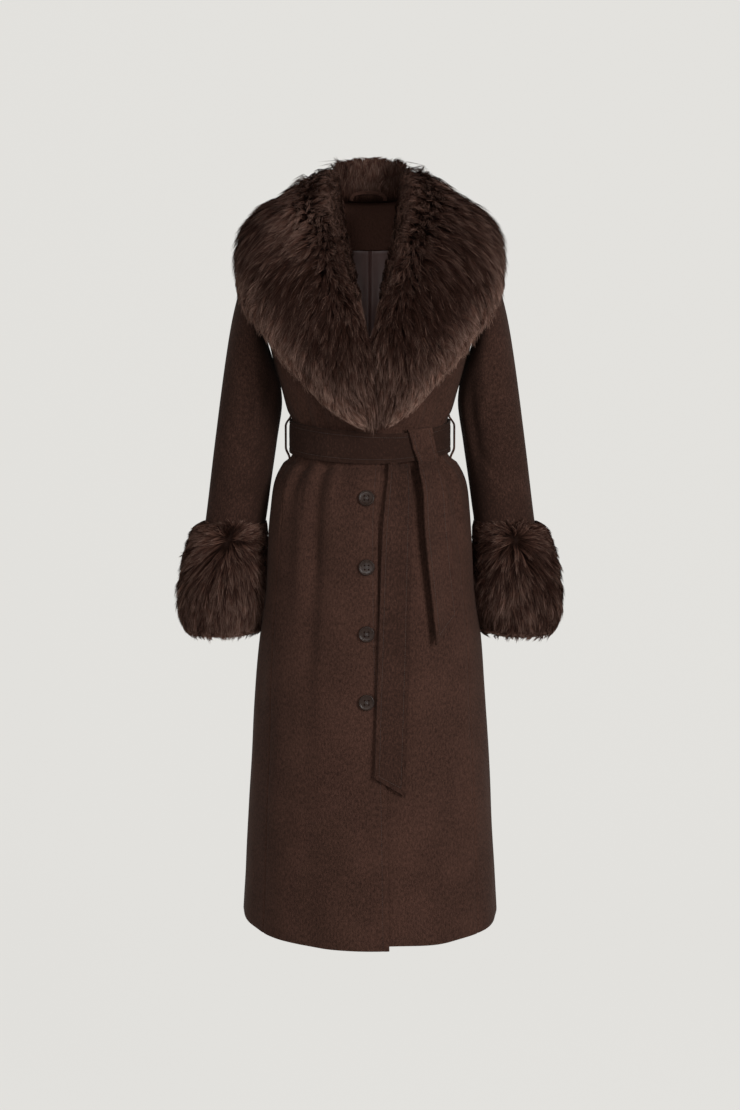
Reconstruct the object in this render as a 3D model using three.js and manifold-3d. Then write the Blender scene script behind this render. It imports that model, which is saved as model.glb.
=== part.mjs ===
// A long belted wool coat with a fur shawl collar and deep fur cuffs, hollow, in the shape that it has
// when worn.
// Millimetres, +Z up, the front faces -Y, and the wearer's right side is at -X.
// The origin is midway between the shoulders, where the wearer carries the coat.
import * as THREE from 'three';
import { mergeVertices } from 'three/addons/utils/BufferGeometryUtils.js';
import Module from 'manifold-3d';

const wasm = await Module();
wasm.setup();

// Driving dimensions
const CLOTH = 2.2; // thickness of the wool
const LINING = 1; // thickness of the lining
const SEAM = 0.3; // gap between two pieces that are sewn together
const LINING_FOOT = -310; // the back is lined down to just above the belt
const COLLAR_DEPTH = 24; // how far inside the cloth the solids reach that the collar is cut with
const ROUNDNESS = 2.02; // exponent of the body's horizontal sections, 2 being an ellipse
const LAP_LIFT = CLOTH + 0.9; // how far the right front stands off where it laps over the left front
const SEAM_TURN = 0.07; // degrees that a panel stops short of its seam
const NECK_POINT = { x: 66, z: 15 }; // where the shoulder seam meets the neck
const SHOULDER_TIP = { x: 165, z: -38 };
const BACK_NECK = { y: 62, z: 12 }; // the middle of the back neck
const CHEST = -150; // height where the rings end and the shoulders begin
const UNDERARM_DROP = 45; // how far the armhole's lowest point lies below CHEST
const BELT = { wide: 49, thick: 4, clear: 1, middle: -368 };
const BUTTON = { across: 25, thick: 4.2, rim: 2.2, hole: 2.2, holesApart: 5.6 };
const BUTTON_HEIGHTS = [-447, -554, -658, -764];
const BUTTON_X = -5;

// The body's rings: height, half width, depth before and behind the side line, and how far the front dips
const BODY = [
  { z: -1154, half: 214, front: 190, back: 174, dip: 8 },
  { z: -1000, half: 204.5, front: 180, back: 167, dip: 5 },
  { z: -850, half: 194, front: 171, back: 160, dip: 3 },
  { z: -698, half: 181, front: 163, back: 155, dip: 3 },
  { z: -600, half: 168, front: 157, back: 150, dip: 4 },
  { z: -505, half: 163, front: 147, back: 140, dip: 6 },
  { z: -440, half: 151, front: 131, back: 122, dip: 8 },
  { z: -408, half: 138, front: 114, back: 104, dip: 10 },
  { z: -396, half: 124.5, front: 100.5, back: 90.5, dip: 11 },
  { z: -340, half: 124.5, front: 100.5, back: 90.5, dip: 11 },
  { z: -324, half: 131, front: 108, back: 96, dip: 9 },
  { z: -290, half: 139, front: 116, back: 101, dip: 6 },
  { z: -229, half: 158, front: 126, back: 108, dip: 2 },
  { z: -190, half: 166, front: 128, back: 110, dip: 0 },
  { z: CHEST, half: 172, front: 124, back: 108, dip: 0 },
];

// The free edges of the two fronts, as distances from the middle, right front and left front of the wearer
const FRONT_EDGES = [
  { z: -1154, right: 30, left: -55 },
  { z: -922, right: 26, left: -58 },
  { z: -670, right: 14, left: -62 },
  { z: -484, right: 12, left: -60 },
  { z: -370, right: 17, left: -55 },
  { z: -300, right: 14, left: -38 },
  { z: -225, right: 2, left: -8 },
  { z: -185, right: -12, left: 12 },
  { z: CHEST, right: -27, left: 27 },
];

// The seams on either side of each side panel, in degrees from the middle of the front
const SEAMS = [
  { z: -1154, front: 54, back: 128 },
  { z: -944, front: 55, back: 127 },
  { z: -712, front: 58, back: 125 },
  { z: -604, front: 62, back: 124 },
  { z: -484, front: 60, back: 122 },
  { z: -368, front: 66, back: 120 },
  { z: -229, front: 62, back: 120 },
  { z: CHEST, front: 60, back: 120 },
];

// Troughs that the belt gathers into the cloth: place round the body and width in degrees, depth at the belt,
// and how far each one runs above and below the belt before it dies away
const GATHERS = [
  { at: -74, deep: 5, wide: 7, above: 55, below: 120 },
  { at: -52, deep: 8, wide: 5.5, above: 62, below: 190 },
  { at: -33, deep: 9, wide: 5, above: 58, below: 240 },
  { at: -17, deep: 4, wide: 5, above: 40, below: 120 },
  { at: 27, deep: 7, wide: 5, above: 40, below: 170 },
  { at: 44, deep: 6, wide: 5.5, above: 64, below: 130 },
  { at: 58, deep: 8, wide: 5.5, above: 62, below: 210 },
  { at: 78, deep: 5, wide: 7, above: 50, below: 130 },
  { at: 108, deep: 7, wide: 6.5, above: 60, below: 190 },
  { at: 131, deep: 8, wide: 6, above: 60, below: 240 },
  { at: 152, deep: 7, wide: 6, above: 52, below: 160 },
  { at: 172, deep: 9, wide: 6, above: 66, below: 260 },
  { at: 193, deep: 8, wide: 6, above: 56, below: 200 },
  { at: 214, deep: 7, wide: 6, above: 60, below: 170 },
  { at: 233, deep: 8, wide: 6, above: 58, below: 230 },
  { at: 254, deep: 6, wide: 6.5, above: 54, below: 160 },
];

// Soft flares that fall to the hem: place and width in degrees, depth at the hem
const FLARES = [
  { at: -62, deep: 5, wide: 13 },
  { at: -24, deep: 3, wide: 12 },
  { at: 40, deep: 4, wide: 12 },
  { at: 84, deep: 5, wide: 14 },
  { at: 132, deep: 8, wide: 13 },
  { at: 168, deep: 7, wide: 12 },
  { at: 204, deep: 8, wide: 12 },
  { at: 240, deep: 7, wide: 13 },
  { at: 276, deep: 5, wide: 14 },
];

// The sleeve's sections: its outer and inner points seen from the front, its half depth, and its middle in Y
const SLEEVE = [
  { outX: 177, outZ: -50, inX: 168.5, inZ: -199, deep: 63, y: 2 },
  { outX: 189, outZ: -76, inX: 167.5, inZ: -206, deep: 65, y: 2 },
  { outX: 200, outZ: -106, inX: 165, inZ: -216, deep: 66, y: 2 },
  { outX: 210, outZ: -140, inX: 161.5, inZ: -230, deep: 66, y: 2 },
  { outX: 220, outZ: -181, inX: 157, inZ: -250, deep: 64, y: 2 },
  { outX: 230.5, outZ: -240, inX: 148, inZ: -284, deep: 60, y: 3 },
  { outX: 240, outZ: -303, inX: 143.5, inZ: -318, deep: 56, y: 4 },
  { outX: 249, outZ: -372, inX: 150, inZ: -376, deep: 54, y: 5 },
  { outX: 258, outZ: -440, inX: 159.5, inZ: -440, deep: 52, y: 6 },
  { outX: 267, outZ: -508, inX: 169.5, inZ: -508, deep: 50, y: 7 },
  { outX: 276, outZ: -570, inX: 182, inZ: -570, deep: 48, y: 8 },
  { outX: 284, outZ: -632, inX: 193, inZ: -632, deep: 46, y: 9 },
  { outX: 289, outZ: -686, inX: 201, inZ: -686, deep: 45, y: 10 },
];

// The fur cuff's outside: height, its outer and inner edges seen from the front, and its half depth
const CUFF = [
  { z: -504, outX: 272, inX: 167.5, deep: 54 },
  { z: -512, outX: 286, inX: 167, deep: 62 },
  { z: -534, outX: 298, inX: 168, deep: 68 },
  { z: -567, outX: 307.5, inX: 170, deep: 72 },
  { z: -632, outX: 316, inX: 174.5, deep: 76 },
  { z: -662, outX: 313, inX: 179.5, deep: 73 },
  { z: -680, outX: 304, inX: 186, deep: 66 },
  { z: -688, outX: 298, inX: 191, deep: 60 },
  { z: -694, outX: 289, inX: 198, deep: 52 },
];

// The collar's sections from the middle of the back to the tip: where it is sewn to the neck, where its
// edge lies, how far the line between them bows out over the coat, the fur's height, the stand's extra
// height at the neck, and how far the fur laps over the neck edge
const COLLAR = [
  { neck: [0, 62, 13.5], edge: [0, 121, -150], bow: 20, fur: 30, stand: 42, lap: 7 },
  { neck: [-36, 54, 14.5], edge: [-78, 117, -149], bow: 24, fur: 30, stand: 39, lap: 7 },
  { neck: [-58, 29, 16.5], edge: [-146, 92, -143], bow: 33, fur: 28, stand: 33, lap: 8 },
  { neck: [-66.5, 0, 16.5], edge: [-198, 8, -143], bow: 43, fur: 24, stand: 22, lap: 9 },
  { neck: [-62, -42, 2], edge: [-200, -50, -142], bow: 40, fur: 26, stand: 14, lap: 11 },
  { neck: [-55, -76, -28], edge: [-191, -88, -166], bow: 28, fur: 30, stand: 4, lap: 12 },
  { neck: [-45, -106, -78], edge: [-165, -110, -199], bow: 22, fur: 32, stand: 3, lap: 12 },
  { neck: [-31, -125, -138], edge: [-134, -121, -240], bow: 17, fur: 32, stand: 2, lap: 11 },
  { neck: [-15, -132.5, -180], edge: [-101, -126, -277], bow: 13, fur: 31, stand: 0, lap: 7 },
];

// The rows that finish each half's tip, the wearer's right half crossing the middle towards the left one
const RIGHT_TIP = [
  { neck: [-3, -134, -214], edge: [-68, -127, -310], bow: 10, fur: 30, stand: 0, lap: 3 },
  { neck: [5, -133, -250], edge: [-36, -127, -334], bow: 8, fur: 28, stand: 0, lap: 2 },
  { neck: [11, -130, -292], edge: [-4, -126, -351], bow: 6, fur: 24, stand: 0, lap: 2 },
];
const LEFT_TIP = [
  { neck: [-6, -134, -214], edge: [-72, -127, -311], bow: 10, fur: 30, stand: 0, lap: 3 },
  { neck: [-12, -133, -250], edge: [-44, -127, -332], bow: 8, fur: 28, stand: 0, lap: 2 },
  { neck: [-18, -130, -292], edge: [-21, -126, -350], bow: 6, fur: 24, stand: 0, lap: 2 },
];

// The belt's two loose ends, pulled narrower at the knot: height, distance from the middle, width, and how
// far each stands off the coat
const LONG_END = [
  { z: -393.6, x: 44, wide: 33, off: 4.4 },
  { z: -412, x: 43.5, wide: 36, off: 4.2 },
  { z: -450, x: 42, wide: 43, off: 4.4 },
  { z: -520, x: 39.5, wide: 47, off: 5 },
  { z: -600, x: 37.5, wide: 48, off: 4.4 },
  { z: -690, x: 35.5, wide: 49, off: 4.8 },
  { z: -780, x: 33, wide: 49, off: 4.4 },
  { z: -850, x: 31, wide: 49, off: 4.8 },
  { z: -896, x: 29.5, wide: 49, off: 4.6 },
];
const SHORT_END = [
  { z: -338, x: 74.3, wide: 43, off: 4.4 },
  { z: -343, x: 75.1, wide: 43, off: 8.2 },
  { z: -360, x: 78, wide: 42, off: 5.4 },
  { z: -380, x: 83, wide: 41, off: 5.4 },
  { z: -394, x: 87, wide: 42, off: 6.3 },
  { z: -412, x: 90, wide: 43, off: 5.6 },
  { z: -450, x: 95, wide: 45, off: 6 },
  { z: -520, x: 102, wide: 47, off: 7 },
  { z: -590, x: 110, wide: 48, off: 6.5 },
  { z: -654, x: 118, wide: 49, off: 6.5 },
];

const clamp01 = (t) => Math.min(1, Math.max(0, t));
const smooth = (low, high, value) => {
  const t = clamp01((value - low) / (high - low));
  return t * t * (3 - 2 * t);
};
const lerp = (a, b, t) => a + (b - a) * t;
const power = (value, exponent) => Math.sign(value) * Math.abs(value) ** exponent;
const span = (count) => Array.from({ length: count + 1 }, (_, i) => i / count);
const radians = THREE.MathUtils.degToRad;

// A column of a table as a smooth function of another column, which never overshoots its rows
function column(table, key, along = 'z') {
  const rows = [...table].sort((a, b) => a[along] - b[along]);
  const at = rows.map((row) => row[along]);
  const value = rows.map((row) => row[key]);
  const slope = at.slice(1).map((x, i) => (value[i + 1] - value[i]) / (x - at[i]));
  const tangent = at.map((_, i) => {
    if (i === 0) return slope[0];
    if (i === at.length - 1) return slope[i - 1];
    if (slope[i - 1] * slope[i] <= 0) return 0;
    return (2 * slope[i - 1] * slope[i]) / (slope[i - 1] + slope[i]);
  });
  return (x) => {
    const above = at.findIndex((a) => a > x);
    const i = above < 0 ? at.length - 2 : Math.max(0, above - 1);
    const wide = at[i + 1] - at[i];
    const t = clamp01((x - at[i]) / wide);
    return (
      value[i] * (1 + 2 * t) * (1 - t) ** 2 +
      value[i + 1] * t * t * (3 - 2 * t) +
      tangent[i] * wide * t * (1 - t) ** 2 +
      tangent[i + 1] * wide * t * t * (t - 1)
    );
  };
}

const body = {
  half: column(BODY, 'half'),
  front: column(BODY, 'front'),
  back: column(BODY, 'back'),
  dip: column(BODY, 'dip'),
};
const frontEdge = { right: column(FRONT_EDGES, 'right'), left: column(FRONT_EDGES, 'left') };
const seamAngle = { front: column(SEAMS, 'front'), back: column(SEAMS, 'back') };

// How far two places round the body lie apart, in degrees
const turn = (a, b) => Math.abs(((((a - b) % 360) + 540) % 360) - 180);

// Depth of the gathers and flares at a place on the body
function trough(angle, z) {
  let depth = 0;
  for (const fold of GATHERS) {
    const away = z - BELT.middle;
    const reach = away > 0 ? fold.above : fold.below;
    const fade = Math.exp(-((away / reach) ** 2) * 1.6) * (0.45 + 0.55 * smooth(20, 45, Math.abs(away)));
    const spread = fold.wide * (1 + Math.abs(away) / 260);
    depth += fold.deep * fade * Math.exp(-((turn(angle, fold.at) / spread) ** 2));
  }
  for (const fold of FLARES) {
    const fade = smooth(-620, -1154, z);
    depth += fold.deep * fade * Math.exp(-((turn(angle, fold.at) / fold.wide) ** 2));
  }
  return depth;
}

// A point of the plain ring at a height, at an angle in degrees from the middle of the front
function ringPoint(angle, z) {
  const s = Math.sin(radians(angle));
  const c = Math.cos(radians(angle));
  const deep = c > 0 ? body.front(z) : body.back(z);
  return new THREE.Vector3(
    body.half(z) * power(s, 2 / ROUNDNESS),
    -deep * power(c, 2 / ROUNDNESS),
    z - body.dip(z) * c,
  );
}

// The direction straight out of a surface that is given as a function of two numbers
function outward(surface, u, v, du, dv) {
  const across = surface(u + du, v).sub(surface(u - du, v));
  const along = surface(u, v + dv).sub(surface(u, v - dv));
  return across.cross(along).normalize();
}

// A point of the folded body, moved out by a distance
function bodyPoint(angle, z, out = 0) {
  const normal = outward(ringPoint, angle, z, 0.5, 1);
  return ringPoint(angle, z).addScaledVector(normal, out - trough(angle, z));
}

// The angle at which the ring at a height has a given distance from the middle, on the front
function angleAt(x, z) {
  return THREE.MathUtils.radToDeg(Math.asin(power(x / body.half(z), ROUNDNESS / 2)));
}

// Curve from a point of the chest ring up to a point of the shoulder or neck edge
function rise(from, to, t) {
  const turned = (t * Math.PI) / 2;
  const up = Math.sin(turned);
  const over = 1 - Math.cos(turned);
  return new THREE.Vector3(lerp(from.x, to.x, up ** 1.3), lerp(from.y, to.y, over), lerp(from.z, to.z, up));
}

// Heights of the rows that all body panels share, from the hem up, and then the shares of the way up the
// shoulder
const RINGS = [
  -1154, -1080, -1000, -920, -840, -770, -698, -645, -600, -550, -505, -470, -440, -421, -408, -396,
  -340, -332, -324, -308, -290, -260, -229, -190, CHEST,
];
const SHOULDER_ROWS = [0.19, 0.366, 0.6, 0.82, 1];
const ROWS = [...RINGS.map((z) => ({ z, t: 0 })), ...SHOULDER_ROWS.map((t) => ({ z: CHEST, t }))];

// A front panel: side -1 is the wearer's right front, which laps over the other. share 0 is its free edge.
function frontPoint(side, share, row, out = 0) {
  const edge = side < 0 ? frontEdge.right(row.z) : frontEdge.left(row.z);
  const from = angleAt(edge, row.z);
  const to = side * (seamAngle.front(row.z) - SEAM_TURN);
  if (row.t === 0) {
    const angle = lerp(from, to, share);
    const raised = side > 0 && row.z < -1150 ? 7 * (1 - smooth(0.3, 0.75, share)) : 0;
    const x = ringPoint(angle, row.z).x;
    const under = frontEdge.left(row.z);
    const lift = side < 0 ? LAP_LIFT * smooth(under - 50, under - 12, x) : 0;
    return bodyPoint(angle, row.z + raised, out + lift);
  }
  const surface = (s, t) => {
    const seam = new THREE.Vector3(
      side * lerp(NECK_POINT.x, SHOULDER_TIP.x, s),
      -SEAM,
      lerp(NECK_POINT.z, SHOULDER_TIP.z, s),
    );
    return rise(ringPoint(lerp(from, to, s), CHEST), seam, t);
  };
  const step = row.t === 1 ? 0.999 : row.t;
  const normal = outward(surface, share, step, 0.001, 0.001).multiplyScalar(side);
  return surface(share, row.t).addScaledVector(normal, out);
}

const NECK_SHARE = 0.4; // share of the back's half width, in its columns, that the neck takes

// The back panel: share -1 is its seam on the wearer's right, 0 its middle, and 1 its seam on the left
function backPoint(share, row, out = 0) {
  const to = seamAngle.back(row.z) + SEAM_TURN;
  const angle = (s, reach) => 180 - s * (180 - reach);
  if (row.t === 0) return bodyPoint(angle(share, to), row.z, out);
  const surface = (s, t) => {
    const beyond = clamp01((Math.abs(s) - NECK_SHARE) / (1 - NECK_SHARE));
    const round = clamp01(Math.abs(s) / NECK_SHARE) * (Math.PI / 2);
    const atNeck = Math.abs(s) < NECK_SHARE;
    const x = atNeck ? NECK_POINT.x * Math.sin(round) : lerp(NECK_POINT.x, SHOULDER_TIP.x, beyond);
    const y = SEAM + (BACK_NECK.y - SEAM) * Math.cos(round);
    const z = atNeck
      ? lerp(BACK_NECK.z, NECK_POINT.z, Math.sin(round) ** 2)
      : lerp(NECK_POINT.z, SHOULDER_TIP.z, beyond);
    const edge = new THREE.Vector3(Math.sign(s) * x, y, z);
    return rise(ringPoint(angle(s, seamAngle.back(CHEST)), CHEST), edge, t);
  };
  const step = row.t === 1 ? 0.999 : row.t;
  const normal = outward(surface, share, step, 0.001, 0.001).negate();
  return surface(share, row.t).addScaledVector(normal, out);
}

// A side panel, under the arm: share 0 is its front seam and 1 its back seam. Its top is the armhole's
// lower half.
function sidePoint(side, share, row, out = 0) {
  const from = seamAngle.front(row.z) + SEAM_TURN;
  const to = seamAngle.back(row.z) - SEAM_TURN;
  const top = CHEST - UNDERARM_DROP * Math.sin(Math.PI * share) ** 0.8;
  const bust = -229;
  const z = row.z <= bust ? row.z : lerp(bust, top, (row.z - bust) / (CHEST - bust));
  return bodyPoint(side * lerp(from, to, share), z, out);
}

// One closed mesh from quads between rows of points. Faces are turned outwards by the sign of the volume.
function solid(points, quads) {
  const index = [];
  for (const [a, b, c, d] of quads) index.push(a, b, c, a, c, d);
  let volume = 0;
  for (let i = 0; i < index.length; i += 3) {
    const [a, b, c] = [points[index[i]], points[index[i + 1]], points[index[i + 2]]];
    volume += a.dot(b.clone().cross(c));
  }
  if (volume < 0) {
    for (let i = 0; i < index.length; i += 3) [index[i], index[i + 1]] = [index[i + 1], index[i]];
  }
  const geometry = new THREE.BufferGeometry().setFromPoints(points);
  geometry.setIndex(index);
  return mergeVertices(geometry, 1e-4);
}

// A wall between an outer and an inner grid of points, as lists of rows. A closed wall runs right round.
function wall(outer, inner, closed = false) {
  const rows = outer.length;
  const columns = outer[0].length;
  const points = [...outer.flat(), ...inner.flat()];
  const at = (layer, r, c) => layer * rows * columns + r * columns + (c % columns);
  const quads = [];
  const across = closed ? columns : columns - 1;
  for (let r = 0; r < rows - 1; r++) {
    for (let c = 0; c < across; c++) {
      quads.push([at(0, r, c), at(0, r, c + 1), at(0, r + 1, c + 1), at(0, r + 1, c)]);
      quads.push([at(1, r, c), at(1, r + 1, c), at(1, r + 1, c + 1), at(1, r, c + 1)]);
    }
  }
  for (let c = 0; c < across; c++) {
    quads.push([at(0, 0, c), at(1, 0, c), at(1, 0, c + 1), at(0, 0, c + 1)]);
    quads.push([at(0, rows - 1, c), at(0, rows - 1, c + 1), at(1, rows - 1, c + 1), at(1, rows - 1, c)]);
  }
  if (!closed) {
    for (let r = 0; r < rows - 1; r++) {
      const c = columns - 1;
      quads.push([at(0, r, 0), at(0, r + 1, 0), at(1, r + 1, 0), at(1, r, 0)]);
      quads.push([at(0, r, c), at(1, r, c), at(1, r + 1, c), at(0, r + 1, c)]);
    }
  }
  return solid(points, quads);
}

// A panel of cloth whose surface is a function of share, row and distance out
function panel(surface, shares, rows, thick, out = 0) {
  const grid = (away) => rows.map((row) => shares.map((share) => surface(share, row, away)));
  return wall(grid(out), grid(out - thick));
}

const FRONT_SHARES = span(15);
const SIDE_SHARES = span(7);
const HALF_BACK = [0.13, 0.27, NECK_SHARE, 0.52, 0.64, 0.76, 0.88, 1];
const BACK_COLUMNS = [...HALF_BACK.map((s) => -s).reverse(), 0, ...HALF_BACK];
const PANEL_ROWS = RINGS.map((z) => ({ z, t: 0 }));

const frontOf = (side) => (share, row, out) => frontPoint(side, share, row, out);
const sideOf = (side) => (share, row, out) => sidePoint(side, share, row, out);
const frontPanel = (side) => panel(frontOf(side), FRONT_SHARES, ROWS, CLOTH);
const sidePanel = (side) => panel(sideOf(side), SIDE_SHARES, PANEL_ROWS, CLOTH);
const backPanel = () => panel(backPoint, BACK_COLUMNS, ROWS, CLOTH);

// The same panels above the waist, a seam's gap proud of the cloth and far thicker inwards
const UPPER_ROWS = ROWS.filter((row) => row.z > LINING_FOOT);
const frontBlock = (side) => panel(frontOf(side), FRONT_SHARES, UPPER_ROWS, COLLAR_DEPTH, SEAM);
const backBlock = () => panel(backPoint, BACK_COLUMNS, UPPER_ROWS, COLLAR_DEPTH, SEAM);
const sleeveBlock = (side) => sleeveWall(side, SLEEVE.slice(0, 8), COLLAR_DEPTH, SEAM);

// The wool facing inside the back neck, and the lining below it
const FACING_FOOT = 0.366; // the shoulder row where the facing ends and the lining begins
const INSIDE = -CLOTH - 2 * SEAM;
const facingShares = BACK_COLUMNS.filter((s) => Math.abs(s) < 0.8);
function backFacing() {
  const rows = SHOULDER_ROWS.filter((t) => t >= FACING_FOOT).map((t) => ({ z: CHEST, t }));
  return panel(backPoint, facingShares, rows, CLOTH * 0.8, INSIDE);
}

function backLining() {
  const above = SHOULDER_ROWS.filter((t) => t < FACING_FOOT).map((t) => ({ z: CHEST, t }));
  const rings = RINGS.filter((z) => z > LINING_FOOT).map((z) => ({ z, t: 0 }));
  const rows = [...rings, ...above, { z: CHEST, t: FACING_FOOT - 0.006 }];
  const pleat = (share, row, out) => backPoint(share, row, out - 2.4 * Math.exp(-((share / 0.06) ** 2)));
  return panel(pleat, facingShares, rows, LINING, INSIDE);
}

// The armhole as a closed ring of points, from the shoulder tip down the front and up the back
const ARM_UPPER = SHOULDER_ROWS.slice().reverse();
function armhole(side) {
  const front = [...ARM_UPPER, 0].map((t) => frontPoint(side, 1, { z: CHEST, t }));
  const under = SIDE_SHARES.slice(1, -1).map((s) => sidePoint(side, s, { z: CHEST, t: 0 }));
  const back = [0, ...SHOULDER_ROWS.slice(0, -1)].map((t) => backPoint(side, { z: CHEST, t }));
  return [...front, ...under, ...back];
}

// A section of the sleeve through its outer and inner points, at each of the given turns from the outer one
function sleeveRing(side, row, turns, out = 0) {
  const outer = new THREE.Vector3(side * row.outX, row.y, row.outZ);
  const inner = new THREE.Vector3(side * row.inX, row.y, row.inZ);
  const middle = outer.clone().add(inner).multiplyScalar(0.5);
  const reach = outer.clone().sub(middle);
  const long = reach.length();
  reach.setLength(long + out);
  return turns.map((a) =>
    middle
      .clone()
      .addScaledVector(reach, power(Math.cos(a), 2 / ROUNDNESS))
      .add(new THREE.Vector3(0, -(row.deep + out) * power(Math.sin(a), 2 / ROUNDNESS), 0)),
  );
}

// Where each point of the armhole lies round its middle, 0 being the shoulder tip and a quarter turn the
// front
function armholeTurns(ring) {
  const middle = ring.reduce((sum, p) => sum.add(p), new THREE.Vector3()).divideScalar(ring.length);
  const high = Math.max(...ring.map((p) => p.z)) - middle.z;
  const deep = Math.max(...ring.map((p) => Math.abs(p.y - middle.y)));
  return ring.map((p) => {
    const a = Math.atan2(-(p.y - middle.y) / deep, (p.z - middle.z) / high);
    return a < -1e-6 ? a + 2 * Math.PI : Math.max(a, 0);
  });
}

// A sleeve's wall from the armhole down through the given rows, its outside moved out by a distance
function sleeveWall(side, rows, thick, out = 0) {
  const start = armhole(side);
  const turns = armholeTurns(start);
  const middle = start.reduce((sum, p) => sum.add(p), new THREE.Vector3()).divideScalar(start.length);
  const grid = (away) => {
    const first = start.map((p) => {
      const outwards = p.clone().sub(middle).setX(0).normalize();
      return p.clone().addScaledVector(outwards, away).add(new THREE.Vector3(side * 2 * SEAM, 0, 0));
    });
    return [first, ...rows.map((row) => sleeveRing(side, row, turns, away))];
  };
  return wall(grid(out), grid(out - thick), true);
}

const sleeve = (side) => sleeveWall(side, SLEEVE, CLOTH);

const sleeveAt = {
  outX: column(SLEEVE, 'outX', 'outZ'),
  inX: column(SLEEVE, 'inX', 'inZ'),
  deep: column(SLEEVE, 'deep', 'outZ'),
  y: column(SLEEVE, 'y', 'outZ'),
};

// A fur cuff: a thick ring round the sleeve's end, its outside lumpy as fur lies in locks
const CUFF_CLEAR = 1; // gap between the sleeve and the cuff that is turned back over it
const CUFF_TURN = 3; // how far the cuff's last row turns in under the sleeve's end
function cuff(side) {
  const turns = armholeTurns(armhole(side));
  const lock = (a, i) => 1.5 * Math.sin(5 * a + 1.9 * i);
  const outer = CUFF.map((row, i) => {
    const y = sleeveAt.y(row.z);
    const ring = turns.map((a) => {
      const section = { outX: row.outX, outZ: row.z, inX: row.inX, inZ: row.z, deep: row.deep, y };
      const facingBody = smooth(-0.2, -0.9, Math.cos(a));
      const inside = i > 0 && i < CUFF.length - 1 ? lock(a, i) * (1 - facingBody) : 0;
      return sleeveRing(side, section, [a], inside)[0];
    });
    return ring;
  });
  const inner = CUFF.map((row) => {
    const section = {
      outX: sleeveAt.outX(row.z),
      outZ: row.z,
      inX: sleeveAt.inX(row.z),
      inZ: row.z,
      deep: sleeveAt.deep(row.z),
      y: sleeveAt.y(row.z),
    };
    return sleeveRing(side, section, turns, row === CUFF[CUFF.length - 1] ? -CUFF_TURN : CUFF_CLEAR);
  });
  return wall(outer, inner, true);
}

// The collar's underside at one section: share 0 is the lap inside the neck edge, 1 the outer edge
const LAP_SHARE = 0.08;
const CAPE_MIDDLE = new THREE.Vector3(0, 0, -120); // what the line over the shoulders bows away from
const COLLAR_KEYS = ['neckX', 'neckY', 'neckZ', 'edgeX', 'edgeY', 'edgeZ', 'bow', 'fur', 'stand', 'lap'];
const LAST_STATION = COLLAR.length + RIGHT_TIP.length - 1;
function collarColumns(tip) {
  const table = [...COLLAR, ...tip].map((row, i) => ({
    i,
    neckX: row.neck[0],
    neckY: row.neck[1],
    neckZ: row.neck[2],
    edgeX: row.edge[0],
    edgeY: row.edge[1],
    edgeZ: row.edge[2],
    ...row,
  }));
  return Object.fromEntries(COLLAR_KEYS.map((key) => [key, column(table, key, 'i')]));
}

function collarBase(columns, station, share) {
  const of = (key) => columns[key](station);
  const neck = new THREE.Vector3(of('neckX'), of('neckY'), of('neckZ'));
  const edge = new THREE.Vector3(of('edgeX'), of('edgeY'), of('edgeZ'));
  const along = edge.clone().sub(neck).normalize();
  const bowing = neck.clone().lerp(edge, 0.5).sub(CAPE_MIDDLE);
  bowing.addScaledVector(along, -bowing.dot(along)).normalize();
  if (share < LAP_SHARE) {
    const level = along.clone().setZ(along.z * smooth(3, 6, station)).normalize();
    return neck.clone().addScaledVector(level, -of('lap') * (1 - share / LAP_SHARE));
  }
  const t = (share - LAP_SHARE) / (1 - LAP_SHARE);
  return neck.clone().lerp(edge, t).addScaledVector(bowing, of('bow') * Math.sin(Math.PI * t));
}

// Height of the fur above the collar's underside: full over the middle, rounded off at both edges, in soft
// locks
function furHeight(columns, station, share) {
  const edges = Math.sqrt(1 - Math.abs(2 * share - 1) ** 5) * 0.94 + 0.06;
  const stand = columns.stand(station) * Math.exp(-(((share - 0.06) / 0.15) ** 2));
  const locks = 2 * Math.sin(1.9 * station + 9 * share) * Math.sin(Math.PI * share);
  const tip = 1 - 0.55 * smooth(LAST_STATION - 1.2, LAST_STATION, station);
  return (columns.fur(station) * edges + stand + locks) * tip;
}

const COLLAR_SHARES = [0, 0.04, 0.08, 0.14, 0.22, 0.32, 0.44, 0.56, 0.68, 0.8, 0.9, 0.97, 1];
const COLLAR_STATIONS = span(28).map((t) => t * LAST_STATION);

// One half of the collar before its underside is cut to the coat. The wearer's right half is at -X.
function collarHalf(side) {
  const columns = collarColumns(side < 0 ? RIGHT_TIP : LEFT_TIP);
  const base = (station, share) => collarBase(columns, station, share);
  const placed = (p) => p.setX(p.x - SEAM / 2).multiply(new THREE.Vector3(-side, 1, 1));
  const outer = COLLAR_STATIONS.map((station) =>
    COLLAR_SHARES.map((share) => {
      const inStation = Math.min(station, LAST_STATION - 0.01);
      const inShare = Math.min(Math.max(share, 0.001), 0.999);
      const normal = outward(base, inStation, inShare, 0.01, 0.001);
      if (normal.dot(base(station, share).sub(CAPE_MIDDLE)) < 0) normal.negate();
      if (station === 0) normal.setX(0).normalize();
      return placed(base(station, share).addScaledVector(normal, furHeight(columns, station, share)));
    }),
  );
  const inner = COLLAR_STATIONS.map((station) =>
    COLLAR_SHARES.map((share) => placed(base(station, share))),
  );
  return wall(outer, inner);
}

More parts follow.
